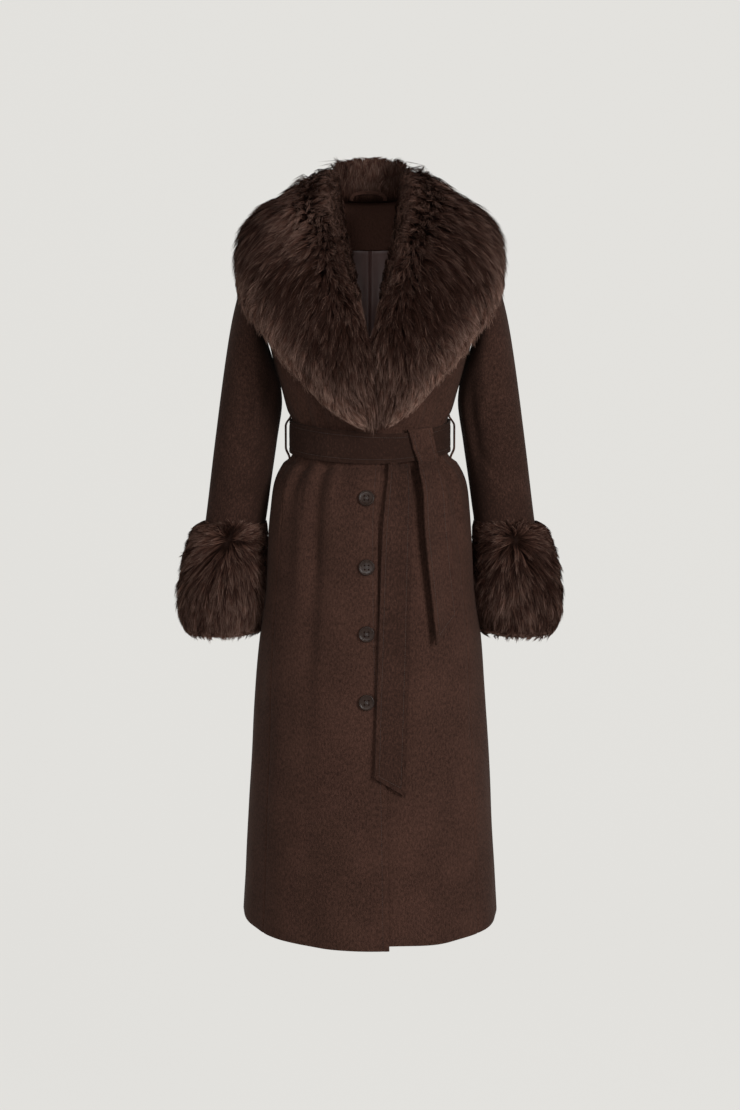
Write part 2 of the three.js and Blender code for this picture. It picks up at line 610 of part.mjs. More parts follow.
// The collar half with its underside cut clear of the panels and the sleeve that it lies on, whose blocks
// are shifted to close the seams between them. The left half is cut clear of the right one too, whose tip
// laps over it.
function collar(side) {
  const [front, back, sleeveTop] = [frontBlock(side), backBlock(), sleeveBlock(side)].map(toManifold);
  const blocks = [
    front,
    front.translate([0, 2 * SEAM, 0]),
    front.translate([-side * SEAM, 0, 0]),
    back,
    back.translate([0, -2 * SEAM, 0]),
    sleeveTop,
    sleeveTop.translate([-side * 2 * SEAM, 0, 0]),
  ];
  if (side > 0) {
    const lap = toManifold(collarHalf(-1));
    blocks.push(lap.translate([2 * SEAM, 0, 0]), lap.translate([2 * SEAM, -2 * SEAM, -2 * SEAM]));
  }
  const cut = blocks.reduce((left, block) => left.subtract(block), toManifold(collarHalf(side)));
  const pieces = cut.decompose().sort((a, b) => b.volume() - a.volume());
  return fromManifold(pieces[0]);
}

// The belt round the waist, over the gathers
const BELT_COLUMNS = 60;
function beltBand() {
  const angles = span(BELT_COLUMNS).slice(0, -1).map((t) => t * 360 - 180);
  const heights = [-0.5, 0, 0.5].map((t) => BELT.middle + t * BELT.wide);
  const standOff = (angle) => BELT.clear + LAP_LIFT * smooth(-46, -30, angle) * (1 - smooth(20, 34, angle));
  const grid = (out) =>
    heights.map((z) =>
      angles.map((angle) => {
        const normal = outward(ringPoint, angle, z, 0.5, 1);
        return ringPoint(angle, z).addScaledVector(normal, standOff(angle) + out);
      }),
    );
  return wall(grid(BELT.thick), grid(0), true);
}

// A strap of the belt's width that follows the coat's front. Its last row is cut aslant.
function strap(table, cut) {
  const rows = table.map((row, i) => {
    const angle = angleAt(row.x, row.z);
    const normal = outward(ringPoint, angle, row.z, 0.5, 1);
    const middle = ringPoint(angle, row.z).addScaledVector(normal, row.off);
    const nextRow = table[Math.min(i + 1, table.length - 1)];
    const lastRow = table[Math.max(i - 1, 0)];
    const lean = new THREE.Vector3(lastRow.x - nextRow.x, 0, lastRow.z - nextRow.z).normalize();
    const across = lean.clone().cross(normal).normalize();
    const last = i === table.length - 1;
    return [-0.5, 0, 0.5].map((t) => {
      const p = middle.clone().addScaledVector(across, t * row.wide);
      if (last) p.addScaledVector(lean, -cut * t);
      return { p, normal };
    });
  });
  const grid = (out) =>
    rows.map((row) => row.map(({ p, normal }) => p.clone().addScaledVector(normal, out)));
  return wall(grid(BELT.thick), grid(0));
}

// A narrow strip that follows a path, wide along one direction
function strip(path, wideDirection, wide, thick) {
  const loops = path.map((p, i) => {
    const ahead = path[Math.min(i + 1, path.length - 1)].clone().sub(path[Math.max(i - 1, 0)]);
    const face = ahead.cross(wideDirection).normalize();
    return [
      [-1, -1],
      [1, -1],
      [1, 1],
      [-1, 1],
    ].map(([w, t]) =>
      p
        .clone()
        .addScaledVector(wideDirection, (w * wide) / 2)
        .addScaledVector(face, (t * thick) / 2),
    );
  });
  const points = loops.flat();
  const quads = [];
  for (let r = 0; r < loops.length - 1; r++) {
    for (let c = 0; c < 4; c++) {
      const next = (c + 1) % 4;
      quads.push([r * 4 + c, r * 4 + next, (r + 1) * 4 + next, (r + 1) * 4 + c]);
    }
  }
  const end = (loops.length - 1) * 4;
  quads.push([0, 3, 2, 1], [end, end + 1, end + 2, end + 3]);
  return solid(points, quads);
}

// A belt loop: a strip that stands off the side of the waist, so that the belt passes under it
const LOOP = { wide: 9, thick: 2.6, out: 136.6, top: -329, foot: -409, topX: 130.6, footX: 139.6 };
function beltLoop(side) {
  const path = span(10).map((t) => {
    const bend = Math.min(1, Math.sin(Math.PI * t) * 1.7);
    const x = lerp(lerp(LOOP.topX, LOOP.footX, t), LOOP.out, smooth(0, 1, bend));
    return new THREE.Vector3(side * x, 0, lerp(LOOP.top, LOOP.foot, t));
  });
  return strip(path, new THREE.Vector3(0, 1, 0), LOOP.wide, LOOP.thick);
}

// The loop inside the back neck that the coat hangs up by
const HANGER = {
  middle: -3,
  half: 27,
  rise: 13,
  wide: 6,
  thick: 1.8,
  foot: 15.5,
  footClear: 2.6,
  clear: 5,
};
function hangerLoop() {
  const rows = span(14).map((t) => {
    const x = -Math.cos(Math.PI * t);
    const up = Math.sin(Math.PI * t) ** 0.6;
    const place = new THREE.Vector3(HANGER.middle + HANGER.half * x, 0, HANGER.foot + HANGER.rise * up);
    place.y = neckFace(place.x) - lerp(HANGER.footClear, HANGER.clear, up);
    const leave = new THREE.Vector3(x, 0, up * 0.9).normalize();
    return { place, leave };
  });
  const corner = ({ place, leave }, w, y) =>
    place.clone().addScaledVector(leave, w * HANGER.wide).add(new THREE.Vector3(0, y, 0));
  const grid = (y) => rows.map((row) => [-0.5, 0.5].map((w) => corner(row, w, y)));
  return wall(grid(0), grid(HANGER.thick));
}

// How far back the collar's inner face is at the neck seam
function neckFace(x) {
  const reach = NECK_POINT.x - 6;
  return (BACK_NECK.y - 7) * Math.sqrt(Math.max(0, 1 - (x / reach) ** 2));
}

function toManifold(geometry) {
  const bare = geometry.index ? geometry.toNonIndexed() : geometry.clone();
  bare.deleteAttribute('normal');
  bare.deleteAttribute('uv');
  const merged = mergeVertices(bare, 1e-4);
  return new wasm.Manifold(
    new wasm.Mesh({
      numProp: 3,
      vertProperties: merged.attributes.position.array,
      triVerts: new Uint32Array(merged.index.array),
    }),
  );
}

function fromManifold(made) {
  const mesh = made.getMesh();
  const geometry = new THREE.BufferGeometry();
  geometry.setAttribute('position', new THREE.BufferAttribute(new Float32Array(mesh.vertProperties), 3));
  geometry.setIndex(new THREE.BufferAttribute(new Uint32Array(mesh.triVerts), 1));
  return geometry;
}

// A button with a raised rim and four holes, its back at z = 0
function buttonShape() {
  const radius = BUTTON.across / 2;
  const inside = radius - BUTTON.rim;
  const profile = [
    [0, 0],
    [radius - 1.2, 0],
    [radius, 1.3],
    [radius - 0.5, BUTTON.thick - 0.5],
    [radius - 1.4, BUTTON.thick],
    [inside, BUTTON.thick - 0.9],
    [0, BUTTON.thick - 1.3],
  ].map(([x, y]) => new THREE.Vector2(x, y));
  const disc = new THREE.LatheGeometry(profile, 18).rotateX(Math.PI / 2);
  const bore = BUTTON.hole / 2;
  const apart = BUTTON.holesApart / 2;
  let made = toManifold(disc);
  for (const [x, y] of [[-1, -1], [1, -1], [1, 1], [-1, 1]]) {
    const hole = new THREE.CylinderGeometry(bore, bore, BUTTON.thick * 3, 5).rotateX(Math.PI / 2);
    made = made.subtract(toManifold(hole.translate(x * apart, y * apart, 0)));
  }
  return fromManifold(made);
}

const materials = {
  wool: new THREE.MeshStandardMaterial({ color: 0x2c1e19, roughness: 0.95, metalness: 0 }),
  fur: new THREE.MeshStandardMaterial({ color: 0x3a2a24, roughness: 0.9, metalness: 0 }),
  lining: new THREE.MeshStandardMaterial({ color: 0x3a302e, roughness: 0.45, metalness: 0 }),
  button: new THREE.MeshStandardMaterial({ color: 0x1e1714, roughness: 0.4, metalness: 0 }),
};

const coat = new THREE.Group();
function add(name, geometry, material) {
  const mesh = new THREE.Mesh(geometry, material);
  mesh.name = name;
  coat.add(mesh);
  return mesh;
}

for (const [label, side] of [['right', -1], ['left', 1]]) {
  add(`front_${label}`, frontPanel(side), materials.wool);
  add(`side_${label}`, sidePanel(side), materials.wool);
  add(`sleeve_${label}`, sleeve(side), materials.wool);
  add(`cuff_${label}`, cuff(side), materials.fur);
  add(`collar_${label}`, collar(side), materials.fur);
  add(`belt_loop_${label}`, beltLoop(side), materials.wool);
}
add('back', backPanel(), materials.wool);
add('back_neck_facing', backFacing(), materials.wool);
add('back_lining', backLining(), materials.lining);
add('hanger_loop', hangerLoop(), materials.wool);
add('belt_band', beltBand(), materials.wool);
add('belt_long_end', strap(LONG_END, 30), materials.wool);
add('belt_short_end', strap(SHORT_END, -36), materials.wool);

const button = buttonShape();
BUTTON_HEIGHTS.forEach((z, i) => {
  const angle = angleAt(BUTTON_X, z);
  const normal = outward(bodyPoint, angle, z, 0.5, 1);
  const mesh = add(`button_${i + 1}`, button.clone(), materials.button);
  mesh.position.copy(bodyPoint(angle, z, LAP_LIFT + 2 * SEAM));
  mesh.quaternion.setFromUnitVectors(new THREE.Vector3(0, 0, 1), normal);
});

export default coat;
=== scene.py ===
# The looks of a long belted wool coat with a fur shawl collar and deep fur cuffs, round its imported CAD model.
# Tables and surfaces are in millimetres and degrees, and meshes become metres as they are made.
# The front faces -Y, the wearer's right side is at -X, and the origin is midway between the shoulders.
import math
from types import SimpleNamespace

import bmesh
import bpy
import numpy as np
from mathutils import Matrix, Vector


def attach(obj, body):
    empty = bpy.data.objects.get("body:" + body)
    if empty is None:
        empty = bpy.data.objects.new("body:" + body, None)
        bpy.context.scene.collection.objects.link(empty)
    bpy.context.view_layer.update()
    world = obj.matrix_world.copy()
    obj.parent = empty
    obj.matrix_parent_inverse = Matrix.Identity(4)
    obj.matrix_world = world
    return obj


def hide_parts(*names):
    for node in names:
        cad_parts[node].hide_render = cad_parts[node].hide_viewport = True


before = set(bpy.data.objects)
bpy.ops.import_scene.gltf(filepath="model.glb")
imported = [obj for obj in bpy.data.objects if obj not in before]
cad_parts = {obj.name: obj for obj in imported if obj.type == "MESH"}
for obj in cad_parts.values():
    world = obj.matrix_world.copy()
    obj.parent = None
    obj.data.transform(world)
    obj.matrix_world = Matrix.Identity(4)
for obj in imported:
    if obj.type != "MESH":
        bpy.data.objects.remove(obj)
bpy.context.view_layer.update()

MM = 0.001
CLOTH = 2.2  # thickness of the wool
LINING = 1
SEAM = 0.3  # gap between two pieces that are sewn together
ROUNDNESS = 2.02  # exponent of the body's horizontal sections, 2 being an ellipse
LAP_LIFT = CLOTH + 0.9  # how far the right front stands off where it laps over the left one
SEAM_TURN = -0.1  # degrees that a panel stops short of its seam; below 0 it runs under its neighbour
NECK_POINT = (66, 15)  # where the shoulder seam meets the neck, as distance from the middle and height
SHOULDER_TIP = (165, -38)
BACK_NECK = (62, 12)  # the middle of the back neck, as Y and height
HEM = -1154
CHEST = -150  # height where the rings end and the shoulders begin
SHOULDER_RUN = 150  # how much a panel's level grows from the chest ring to the shoulder seam
UNDERARM_DROP = 45
BELT = SimpleNamespace(wide=49, thick=4, clear=1, middle=-368)
BUTTON_HEIGHTS = (-447, -554, -658, -764)
BUTTON_X = -5
HIP_EASE = 4.5  # how much wider than its solids the coat is at the hips, just below the belt
HEM_LIFT = 4.5  # how much higher than on its solids the hem is
LEFT_CORNER_RISE = 7  # how much higher the left front's lower corner is than the right one's
GIRTH_RADIUS = 140  # turns about the body become millimetres with it, beside a seam
HALF_BACK = 170  # about how wide half of the back is

# The body's rings: height, half width, depth before and behind the side line, how far the front dips
BODY = [
    (-1154, 214, 190, 174, 8),
    (-1000, 204.5, 180, 167, 5),
    (-850, 194, 171, 160, 3),
    (-698, 181, 163, 155, 3),
    (-600, 168, 157, 150, 4),
    (-505, 163, 147, 140, 6),
    (-440, 151, 131, 122, 8),
    (-408, 138, 114, 104, 10),
    (-396, 124.5, 100.5, 90.5, 11),
    (-340, 124.5, 100.5, 90.5, 11),
    (-324, 131, 108, 96, 9),
    (-290, 139, 116, 101, 6),
    (-229, 158, 126, 108, 2),
    (-190, 166, 128, 110, 0),
    (CHEST, 172, 124, 108, 0),
]

# The free edges of the two fronts: height, distance from the middle of the right and the left one
FRONT_EDGES = [
    (-1154, 30, -55),
    (-922, 26, -58),
    (-670, 14, -62),
    (-484, 12, -60),
    (-370, 17, -55),
    (-300, 14, -38),
    (-225, 2, -8),
    (-185, -12, 12),
    (CHEST, -27, 27),
]

# The seams on either side of each side panel: height, degrees from the middle of the front
SEAMS = [
    (-1154, 54, 128),
    (-944, 55, 127),
    (-712, 58, 125),
    (-604, 62, 124),
    (-484, 60, 122),
    (-368, 66, 120),
    (-229, 62, 120),
    (CHEST, 60, 120),
]

# Troughs that the belt gathers into the cloth: place round the body, depth at the belt, width in degrees,
# and how far each one runs above and below the belt
GATHERS = [
    (-74, 5, 7, 55, 120),
    (-52, 8, 5.5, 62, 190),
    (-33, 9, 5, 58, 240),
    (-17, 4, 5, 40, 120),
    (27, 7, 5, 40, 170),
    (44, 6, 5.5, 64, 130),
    (58, 8, 5.5, 62, 210),
    (78, 5, 7, 50, 130),
    (108, 7, 6.5, 60, 190),
    (131, 8, 6, 60, 240),
    (152, 7, 6, 52, 160),
    (172, 9, 6, 66, 260),
    (193, 8, 6, 56, 200),
    (214, 7, 6, 60, 170),
    (233, 8, 6, 58, 230),
    (254, 6, 6.5, 54, 160),
]

# Soft flares that fall to the hem: place, depth at the hem, width in degrees
FLARES = [
    (-62, 5, 13),
    (-24, 3, 12),
    (40, 4, 12),
    (84, 5, 14),
    (132, 8, 13),
    (168, 7, 12),
    (204, 8, 12),
    (240, 7, 13),
    (276, 5, 14),
]

# Fine creases of the body, each a soft trough or, with a negative depth, a ridge:
# place in degrees, its upper and lower end, depth, width in degrees, lean in degrees for each 100 mm down
CREASES = [
    (-32, -396, -840, 5.0, 4.6, 0.4),
    (-43, -410, -700, -2.0, 4.0, 0.6),
    (-51, -270, -346, 3.0, 2.6, 2),
    (-33, -280, -346, 3.2, 2.4, -2),
    (-21, -300, -346, 2.2, 2.2, -3),
    (42, -280, -346, 3.0, 2.4, 2),
    (55, -270, -346, 3.0, 2.6, -2),
    (-60, -292, -346, 1.6, 2.2, 3),
    (-56, -283, -345, -1.8, 2.4, 4),
    (-46, -268, -346, 2.4, 2.0, -3),
    (-40, -300, -347, -1.7, 2.2, -2),
    (-27, -302, -346, 1.9, 2.0, 5),
    (34, -310, -346, 1.6, 1.9, -4),
    (39, -288, -346, -1.9, 2.2, -6),
    (50, -276, -346, 2.3, 2.0, -4),
    (66, -286, -347, 1.9, 2.3, 2),
    (71, -300, -346, -1.5, 2.2, 3),
    (-64, -390, -470, 1.5, 2.2, -4),
    (-58, -391, -540, -2.0, 2.3, -3),
    (-45, -391, -500, 2.2, 1.9, 2),
    (-39, -390, -452, -1.8, 2.0, 3),
    (-29, -391, -600, 2.0, 2.1, -1),
    (-23, -390, -470, -1.6, 2.0, 2),
    (-12, -391, -445, 1.2, 1.9, 1),
    (22, -391, -470, 1.7, 2.0, -2),
    (32, -391, -520, -1.8, 2.1, 2),
    (38, -390, -455, 1.6, 1.8, 3),
    (52, -391, -500, -2.0, 2.2, 2),
    (64, -391, -560, 2.0, 2.0, -2),
    (70, -390, -450, -1.5, 2.1, 1),
    (101, -300, -346, 1.6, 2.3, 3),
    (118, -286, -346, -1.9, 2.3, -3),
    (124, -292, -347, 1.8, 2.0, -4),
    (142, -282, -346, 2.2, 2.1, 3),
    (160, -296, -346, -1.8, 2.2, 2),
    (180, -280, -346, -2.1, 2.3, -2),
    (186, -300, -347, 1.7, 2.0, 2),
    (203, -288, -346, 2.1, 2.0, -3),
    (222, -300, -346, -1.8, 2.1, 3),
    (241, -284, -346, 1.9, 2.2, 3),
    (262, -300, -346, 1.5, 2.3, -2),
    (103, -391, -470, 1.7, 2.2, 2),
    (117, -390, -540, -2.0, 2.3, -2),
    (124, -391, -470, 2.0, 1.9, -2),
    (140, -391, -560, 1.9, 2.0, 2),
    (161, -391, -500, -2.1, 2.2, -2),
    (180, -390, -600, -1.9, 2.2, 1),
    (186, -391, -480, 1.9, 1.9, 2),
    (202, -391, -540, 2.0, 2.0, -2),
    (222, -390, -470, -1.8, 2.1, 2),
    (242, -391, -560, 2.0, 2.1, 2),
    (250, -391, -460, -1.6, 2.1, -2),
    (-70, -560, -900, 1.3, 5.0, 1),
    (-46, -620, -1040, -1.6, 5.5, -1),
    (20, -600, -1000, 1.5, 5.0, 1),
    (52, -680, -1080, -1.5, 5.5, 1),
    (110, -560, -980, 1.6, 5.5, -1),
    (150, -640, -1090, -1.9, 6.0, 1),
    (186, -560, -1000, 1.8, 6.0, -1),
    (222, -660, -1080, -1.8, 5.5, 1),
    (258, -560, -940, 1.5, 5.5, 1),
]

# The sleeve's sections: outer and inner point seen from the front, half depth, middle in Y
SLEEVE = [
    (177, -50, 168.5, -199, 63, 2),
    (189, -76, 167.5, -206, 65, 2),
    (200, -106, 165, -216, 66, 2),
    (210, -140, 161.5, -230, 66, 2),
    (220, -181, 157, -250, 64, 2),
    (230.5, -240, 148, -284, 60, 3),
    (240, -303, 143.5, -318, 56, 4),
    (249, -372, 150, -376, 54, 5),
    (258, -440, 159.5, -440, 52, 6),
    (267, -508, 169.5, -508, 50, 7),
    (276, -570, 182, -570, 48, 8),
    (284, -632, 193, -632, 46, 9),
    (289, -686, 201, -686, 45, 10),
]

# Folds of the sleeves: which sleeve, then turn round it and height at the upper and the lower end, depth and
# width. A quarter turn, 90, is its front, and 180 is the side next to the body.
SLEEVE_FOLDS = [
    (-1, 84, -236, 96, -420, 4.2, 9),
    (-1, 104, -300, 70, -372, 2.0, 7),
    (-1, 50, -330, 96, -398, 1.8, 7),
    (-1, 128, -372, 98, -432, 2.2, 7),
    (-1, 40, -420, 84, -474, 1.6, 8),
    (-1, 120, -440, 88, -494, 1.8, 7),
    (-1, 150, -250, 122, -330, 2.2, 9),
    (-1, 270, -210, 262, -400, 3.4, 10),
    (-1, 300, -330, 262, -392, 2.0, 8),
    (-1, 238, -366, 270, -430, 2.0, 8),
    (-1, 312, -420, 272, -480, 1.7, 8),
    (1, 132, -262, 124, -436, 4.0, 9),
    (1, 76, -270, 104, -352, 2.0, 8),
    (1, 52, -346, 92, -402, 2.0, 7),
    (1, 126, -384, 84, -440, 1.9, 7),
    (1, 44, -428, 90, -486, 1.7, 8),
    (1, 96, -220, 82, -300, 1.8, 9),
    (1, 266, -220, 276, -410, 3.4, 10),
    (1, 236, -320, 276, -380, 2.0, 8),
    (1, 304, -372, 268, -436, 2.0, 8),
    (1, 230, -424, 270, -484, 1.7, 8),
]

# The fur cuff's outside: height, outer and inner edge seen from the front, half depth
CUFF = [
    (-504, 272, 167.5, 54),
    (-512, 286, 167, 62),
    (-534, 298, 168, 68),
    (-567, 307.5, 170, 72),
    (-632, 316, 174.5, 76),
    (-662, 313, 179.5, 73),
    (-680, 304, 186, 66),
    (-688, 298, 191, 60),
    (-694, 289, 198, 52),
]
CUFF_CLEAR = 1
CUFF_SKIN = 0.42  # how deep in a cuff's fur its skin is, 0 being next to the sleeve

# The collar's sections from the middle of the back to the tip: X, Y and Z of its neck line and then of its
# edge, how far the line between them bows out, the fur's height, the stand's extra height, and the lap
COLLAR = [
    (0, 62, 13.5, 0, 121, -150, 20, 30, 42, 7),
    (-36, 54, 14.5, -78, 117, -149, 24, 30, 39, 7),
    (-58, 29, 16.5, -146, 92, -143, 33, 28, 33, 8),
    (-66.5, 0, 16.5, -198, 8, -143, 43, 24, 22, 9),
    (-62, -42, 2, -200, -50, -142, 40, 26, 14, 11),
    (-55, -76, -28, -191, -88, -166, 28, 30, 4, 12),
    (-45, -106, -78, -165, -110, -199, 22, 32, 3, 12),
    (-31, -125, -138, -134, -121, -240, 17, 32, 2, 11),
    (-15, -132.5, -180, -101, -126, -277, 13, 31, 0, 7),
]
RIGHT_TIP = [
    (-3, -134, -214, -68, -127, -310, 10, 30, 0, 3),
    (5, -133, -250, -36, -127, -334, 8, 28, 0, 2),
    (11, -130, -292, -4, -126, -351, 6, 24, 0, 2),
]
LEFT_TIP = [
    (-6, -134, -214, -72, -127, -311, 10, 30, 0, 3),
    (-12, -133, -250, -44, -127, -332, 8, 28, 0, 2),
    (-18, -130, -292, -21, -126, -350, 6, 24, 0, 2),
]
LAST_STATION = len(COLLAR) + len(RIGHT_TIP) - 1
PAST_TIP = 42  # millimetres that one station stands for beyond the tip
LAP_SHARE = 0.08  # the share of a section that laps inside the neck edge
CAPE_MIDDLE = np.array([0, 0, -120.0])  # what the line over the shoulders bows away from

# The belt's two loose ends: height, distance from the middle, width, how far each stands off the coat
LONG_END = [
    (-393.6, 44, 33, 4.4),
    (-412, 43.5, 36, 4.2),
    (-450, 42, 43, 4.4),
    (-520, 39.5, 47, 5),
    (-600, 37.5, 48, 4.4),
    (-690, 35.5, 49, 4.8),
    (-780, 33, 49, 4.4),
    (-850, 31, 49, 4.8),
    (-896, 29.5, 49, 4.6),
]
SHORT_END = [
    (-338, 74.3, 43, 1.2),
    (-340, 74.6, 43, 3.6),
    (-344, 75.3, 43, 5.2),
    (-360, 78, 42, 5.4),
    (-380, 83, 41, 5.4),
    (-394, 86, 43, 6.3),
    (-412, 88.5, 45, 5.6),
    (-450, 93, 48, 6),
    (-520, 99, 51, 7),
    (-590, 106, 53, 6.5),
    (-658, 113.5, 54, 6.5),
]


def smooth(low, high, value):
    t = np.clip((value - low) / (high - low), 0, 1)
    return t * t * (3 - 2 * t)


def lerp(a, b, t):
    return a + (b - a) * t


def bell(away, width):
    """1 where away is 0, falling softly to nothing at about twice the width on either side."""
    return np.exp(-((away / width) ** 2))


def power(value, exponent):
    return np.sign(value) * np.abs(value) ** exponent


def places(x, y, z):
    """Points whose coordinates are numbers or arrays that fit together."""
    return np.stack(np.broadcast_arrays(x, y, z), axis=-1).astype(float)


def unit(v):
    return v / np.maximum(np.linalg.norm(v, axis=-1, keepdims=True), 1e-9)


def wide(values):
    """Numbers with one more axis, to multiply points with."""
    return np.asarray(values, float)[..., None]


def through(at, values):
    """A smooth function through values at the given places, which never overshoots them."""
    at, values = np.asarray(at, float), np.asarray(values, float)
    fit = (-1,) + (1,) * (values.ndim - 1)
    slope = np.diff(values, axis=0) / np.diff(at).reshape(fit)
    same_way = slope[:-1] * slope[1:] > 0
    total = np.where(same_way, slope[:-1] + slope[1:], 1)
    middle = np.where(same_way, 2 * slope[:-1] * slope[1:] / total, 0)
    tangent = np.concatenate([slope[:1], middle, slope[-1:]])

    def value_at(x):
        x = np.asarray(x, float)
        i = np.clip(np.searchsorted(at, x, side="right") - 1, 0, len(at) - 2)
        run = at[i + 1] - at[i]
        t = np.clip((x - at[i]) / run, 0, 1)
        grown = x.shape + (1,) * (values.ndim - 1)
        run, t = run.reshape(grown), t.reshape(grown)
        return (
            values[i] * (1 + 2 * t) * (1 - t) ** 2
            + values[i + 1] * t * t * (3 - 2 * t)
            + tangent[i] * run * t * (1 - t) ** 2
            + tangent[i + 1] * run * t * t * (t - 1)
        )

    return value_at


def columns(names, rows):
    """The columns of a table as smooth functions of its first one."""
    at, *values = np.array(sorted(rows), float).T
    return SimpleNamespace(**{name: through(at, column) for name, column in zip(names.split(), values)})


body = columns("half front back dip", BODY)
front_edge = columns("right left", FRONT_EDGES)
seam_angle = columns("front back", SEAMS)


def turn(a, b):
    """How far two places round the body lie apart, with its sign, in degrees."""
    return (a - b + 540) % 360 - 180


def trough(angle, z):
    """Depth of the gathers, flares and creases at a place on the body."""
    depth = np.zeros(np.broadcast(angle, z).shape)
    away = z - BELT.middle
    for at, deep, broad, above, below in GATHERS:
        reach = np.where(away > 0, above, below)
        fade = np.exp(-((away / reach) ** 2) * 1.6) * (0.7 + 0.5 * smooth(20, 45, np.abs(away)))
        depth = depth + deep * fade * bell(turn(angle, at), broad * (1 + np.abs(away) / 260))
    for at, deep, broad in FLARES:
        depth = depth + deep * smooth(-620, HEM, z) * bell(turn(angle, at), broad)
    for at, top, foot, deep, broad, lean in CREASES:
        middle, half = (top + foot) / 2, (top - foot) / 2
        fade = np.clip(1 - ((z - middle) / half) ** 2, 0, 1) ** 1.5
        line = at + lean * (top - z) / 100
        depth = depth + deep * fade * bell(turn(angle, line), broad)
    return depth


def unevenness(angle, z):
    """The slight waviness that heavy cloth has even where it hangs smoothly."""
    a = np.radians(angle)
    return (
        0.5 * np.sin(7 * a + z / 61 + 1.3) * np.sin(z / 83 + 2 * a)
        + 0.3 * np.sin(13 * a - z / 37 + 0.4)
        + 0.2 * np.sin(23 * a + z / 29) * np.sin(z / 47 - 5 * a + 2)
    )


def ring_point(angle, z):
    s, c = np.sin(np.radians(angle)), np.cos(np.radians(angle))
    deep = np.where(c > 0, body.front(z), body.back(z))
    return places(
        (body.half(z) + HIP_EASE * bell(z + 440, 34)) * power(s, 2 / ROUNDNESS),
        -deep * power(c, 2 / ROUNDNESS),
        z - body.dip(z) * c + HEM_LIFT * smooth(-1090, HEM, z),
    )


def outward(surface, u, v, du, dv):
    """The direction straight out of a surface that is given as a function of two numbers."""
    across = surface(u + du, v) - surface(u - du, v)
    along = surface(u, v + dv) - surface(u, v - dv)
    return unit(np.cross(across, along))


def ring_out(angle, z):
    """The direction straight out of the body's ring at a place on it."""
    return outward(ring_point, angle, z, 0.5, 1)


def body_point(angle, z, out=0.0):
    """A point of the draped cloth, or one that stands off it."""
    under_arm = 2 * bell(turn(np.abs(turn(angle, 0)), 90), 28) * bell(z + 280, 45)
    drape = unevenness(angle, z) + under_arm - trough(angle, z)
    return ring_point(angle, z) + ring_out(angle, z) * wide(out + drape)


def angle_at(x, z):
    """The angle at which the ring at a height has a given distance from the middle, on the front."""
    return np.degrees(np.arcsin(np.clip(power(x / body.half(z), ROUNDNESS / 2), -1, 1)))


def rise(start, end, t):
    """The curve from a point of the chest ring up to a point of the shoulder or neck edge."""
    t = np.clip(t, 0, 1)
    up, over = np.sin(t * np.pi / 2), 1 - np.cos(t * np.pi / 2)
    return places(
        lerp(start[..., 0], end[..., 0], up**1.3),
        lerp(start[..., 1], end[..., 1], over),
        lerp(start[..., 2], end[..., 2], up),
    )


def split_level(level):
    """A panel's level as a height up to the chest ring, and as a share of the way on to the shoulder."""
    return np.minimum(level, CHEST), np.clip((level - CHEST) / SHOULDER_RUN, 0, 1)


def seam_dip(gap):
    """How far cloth turns in beside a seam, at a distance in millimetres from it."""
    return 1.1 * bell(np.asarray(gap), 1.6)


def front_surface(side):
    """A front as a function of share, 0 being its free edge, and level. The wearer's right one is side -1."""

    def edges(z):
        edge = front_edge.right(z) if side < 0 else front_edge.left(z)
        return angle_at(edge, z), side * (seam_angle.front(z) - SEAM_TURN)

    def surface(share, level):
        z, t = split_level(level)
        start, end = edges(z)
        angle = lerp(start, end, share)
        raised = LEFT_CORNER_RISE * (1 - smooth(0.3, 0.75, share)) * smooth(-1120, HEM, z) if side > 0 else 0
        lift = 0
        if side < 0:
            under = front_edge.left(z)
            lift = LAP_LIFT * smooth(under - 50, under - 12, ring_point(angle, z)[..., 0])
        width = np.radians(np.abs(end - start)) * GIRTH_RADIUS
        lift = lift - seam_dip((1 - share) * width)
        hung = body_point(angle, z + raised, lift)
        seam = places(
            side * lerp(NECK_POINT[0], SHOULDER_TIP[0], share),
            -SEAM,
            lerp(NECK_POINT[1], SHOULDER_TIP[1], share),
        )
        return np.where(wide(t) > 0, rise(ring_point(angle, z), seam, t), hung)

    return surface


NECK_SHARE = 0.4  # share of the back's half width that the neck takes


def back_edge(share):
    """The back's upper edge: the neck, and the shoulder seams on either side of it."""
    reach = np.abs(share)
    beyond = np.clip((reach - NECK_SHARE) / (1 - NECK_SHARE), 0, 1)
    bend = np.clip(reach / NECK_SHARE, 0, 1) * np.pi / 2
    at_neck = reach < NECK_SHARE
    x = np.where(at_neck, NECK_POINT[0] * np.sin(bend), lerp(NECK_POINT[0], SHOULDER_TIP[0], beyond))
    z_neck = lerp(BACK_NECK[1], NECK_POINT[1], np.sin(bend) ** 2)
    z = np.where(at_neck, z_neck, lerp(NECK_POINT[1], SHOULDER_TIP[1], beyond))
    return places(np.sign(share) * x, SEAM + (BACK_NECK[0] - SEAM) * np.cos(bend), z)


def back_surface(out=0.0, pleat=0.0):
    """The back as a function of share, -1 being its seam on the wearer's right, and level."""

    def upper(share, t):
        angle = 180 - share * (180 - seam_angle.back(CHEST))
        return rise(ring_point(angle, np.full_like(angle, CHEST)), back_edge(share), t)

    def surface(share, level):
        share, level = np.broadcast_arrays(share, level)
        z, t = split_level(level)
        away = out - pleat * (bell(share, 0.06) - 1.1 * bell(share, 0.009))
        angle = 180 - share * (180 - seam_angle.back(z) - SEAM_TURN)
        dip = seam_dip((1 - np.abs(share)) * HALF_BACK) if out == 0 else 0
        hung = body_point(angle, z, away - dip)
        normal = -outward(upper, share, np.minimum(t, 0.999), 0.001, 0.001)
        shoulder = upper(share, t) + normal * wide(away)
        return np.where(wide(t) > 0, shoulder, hung)

    return surface


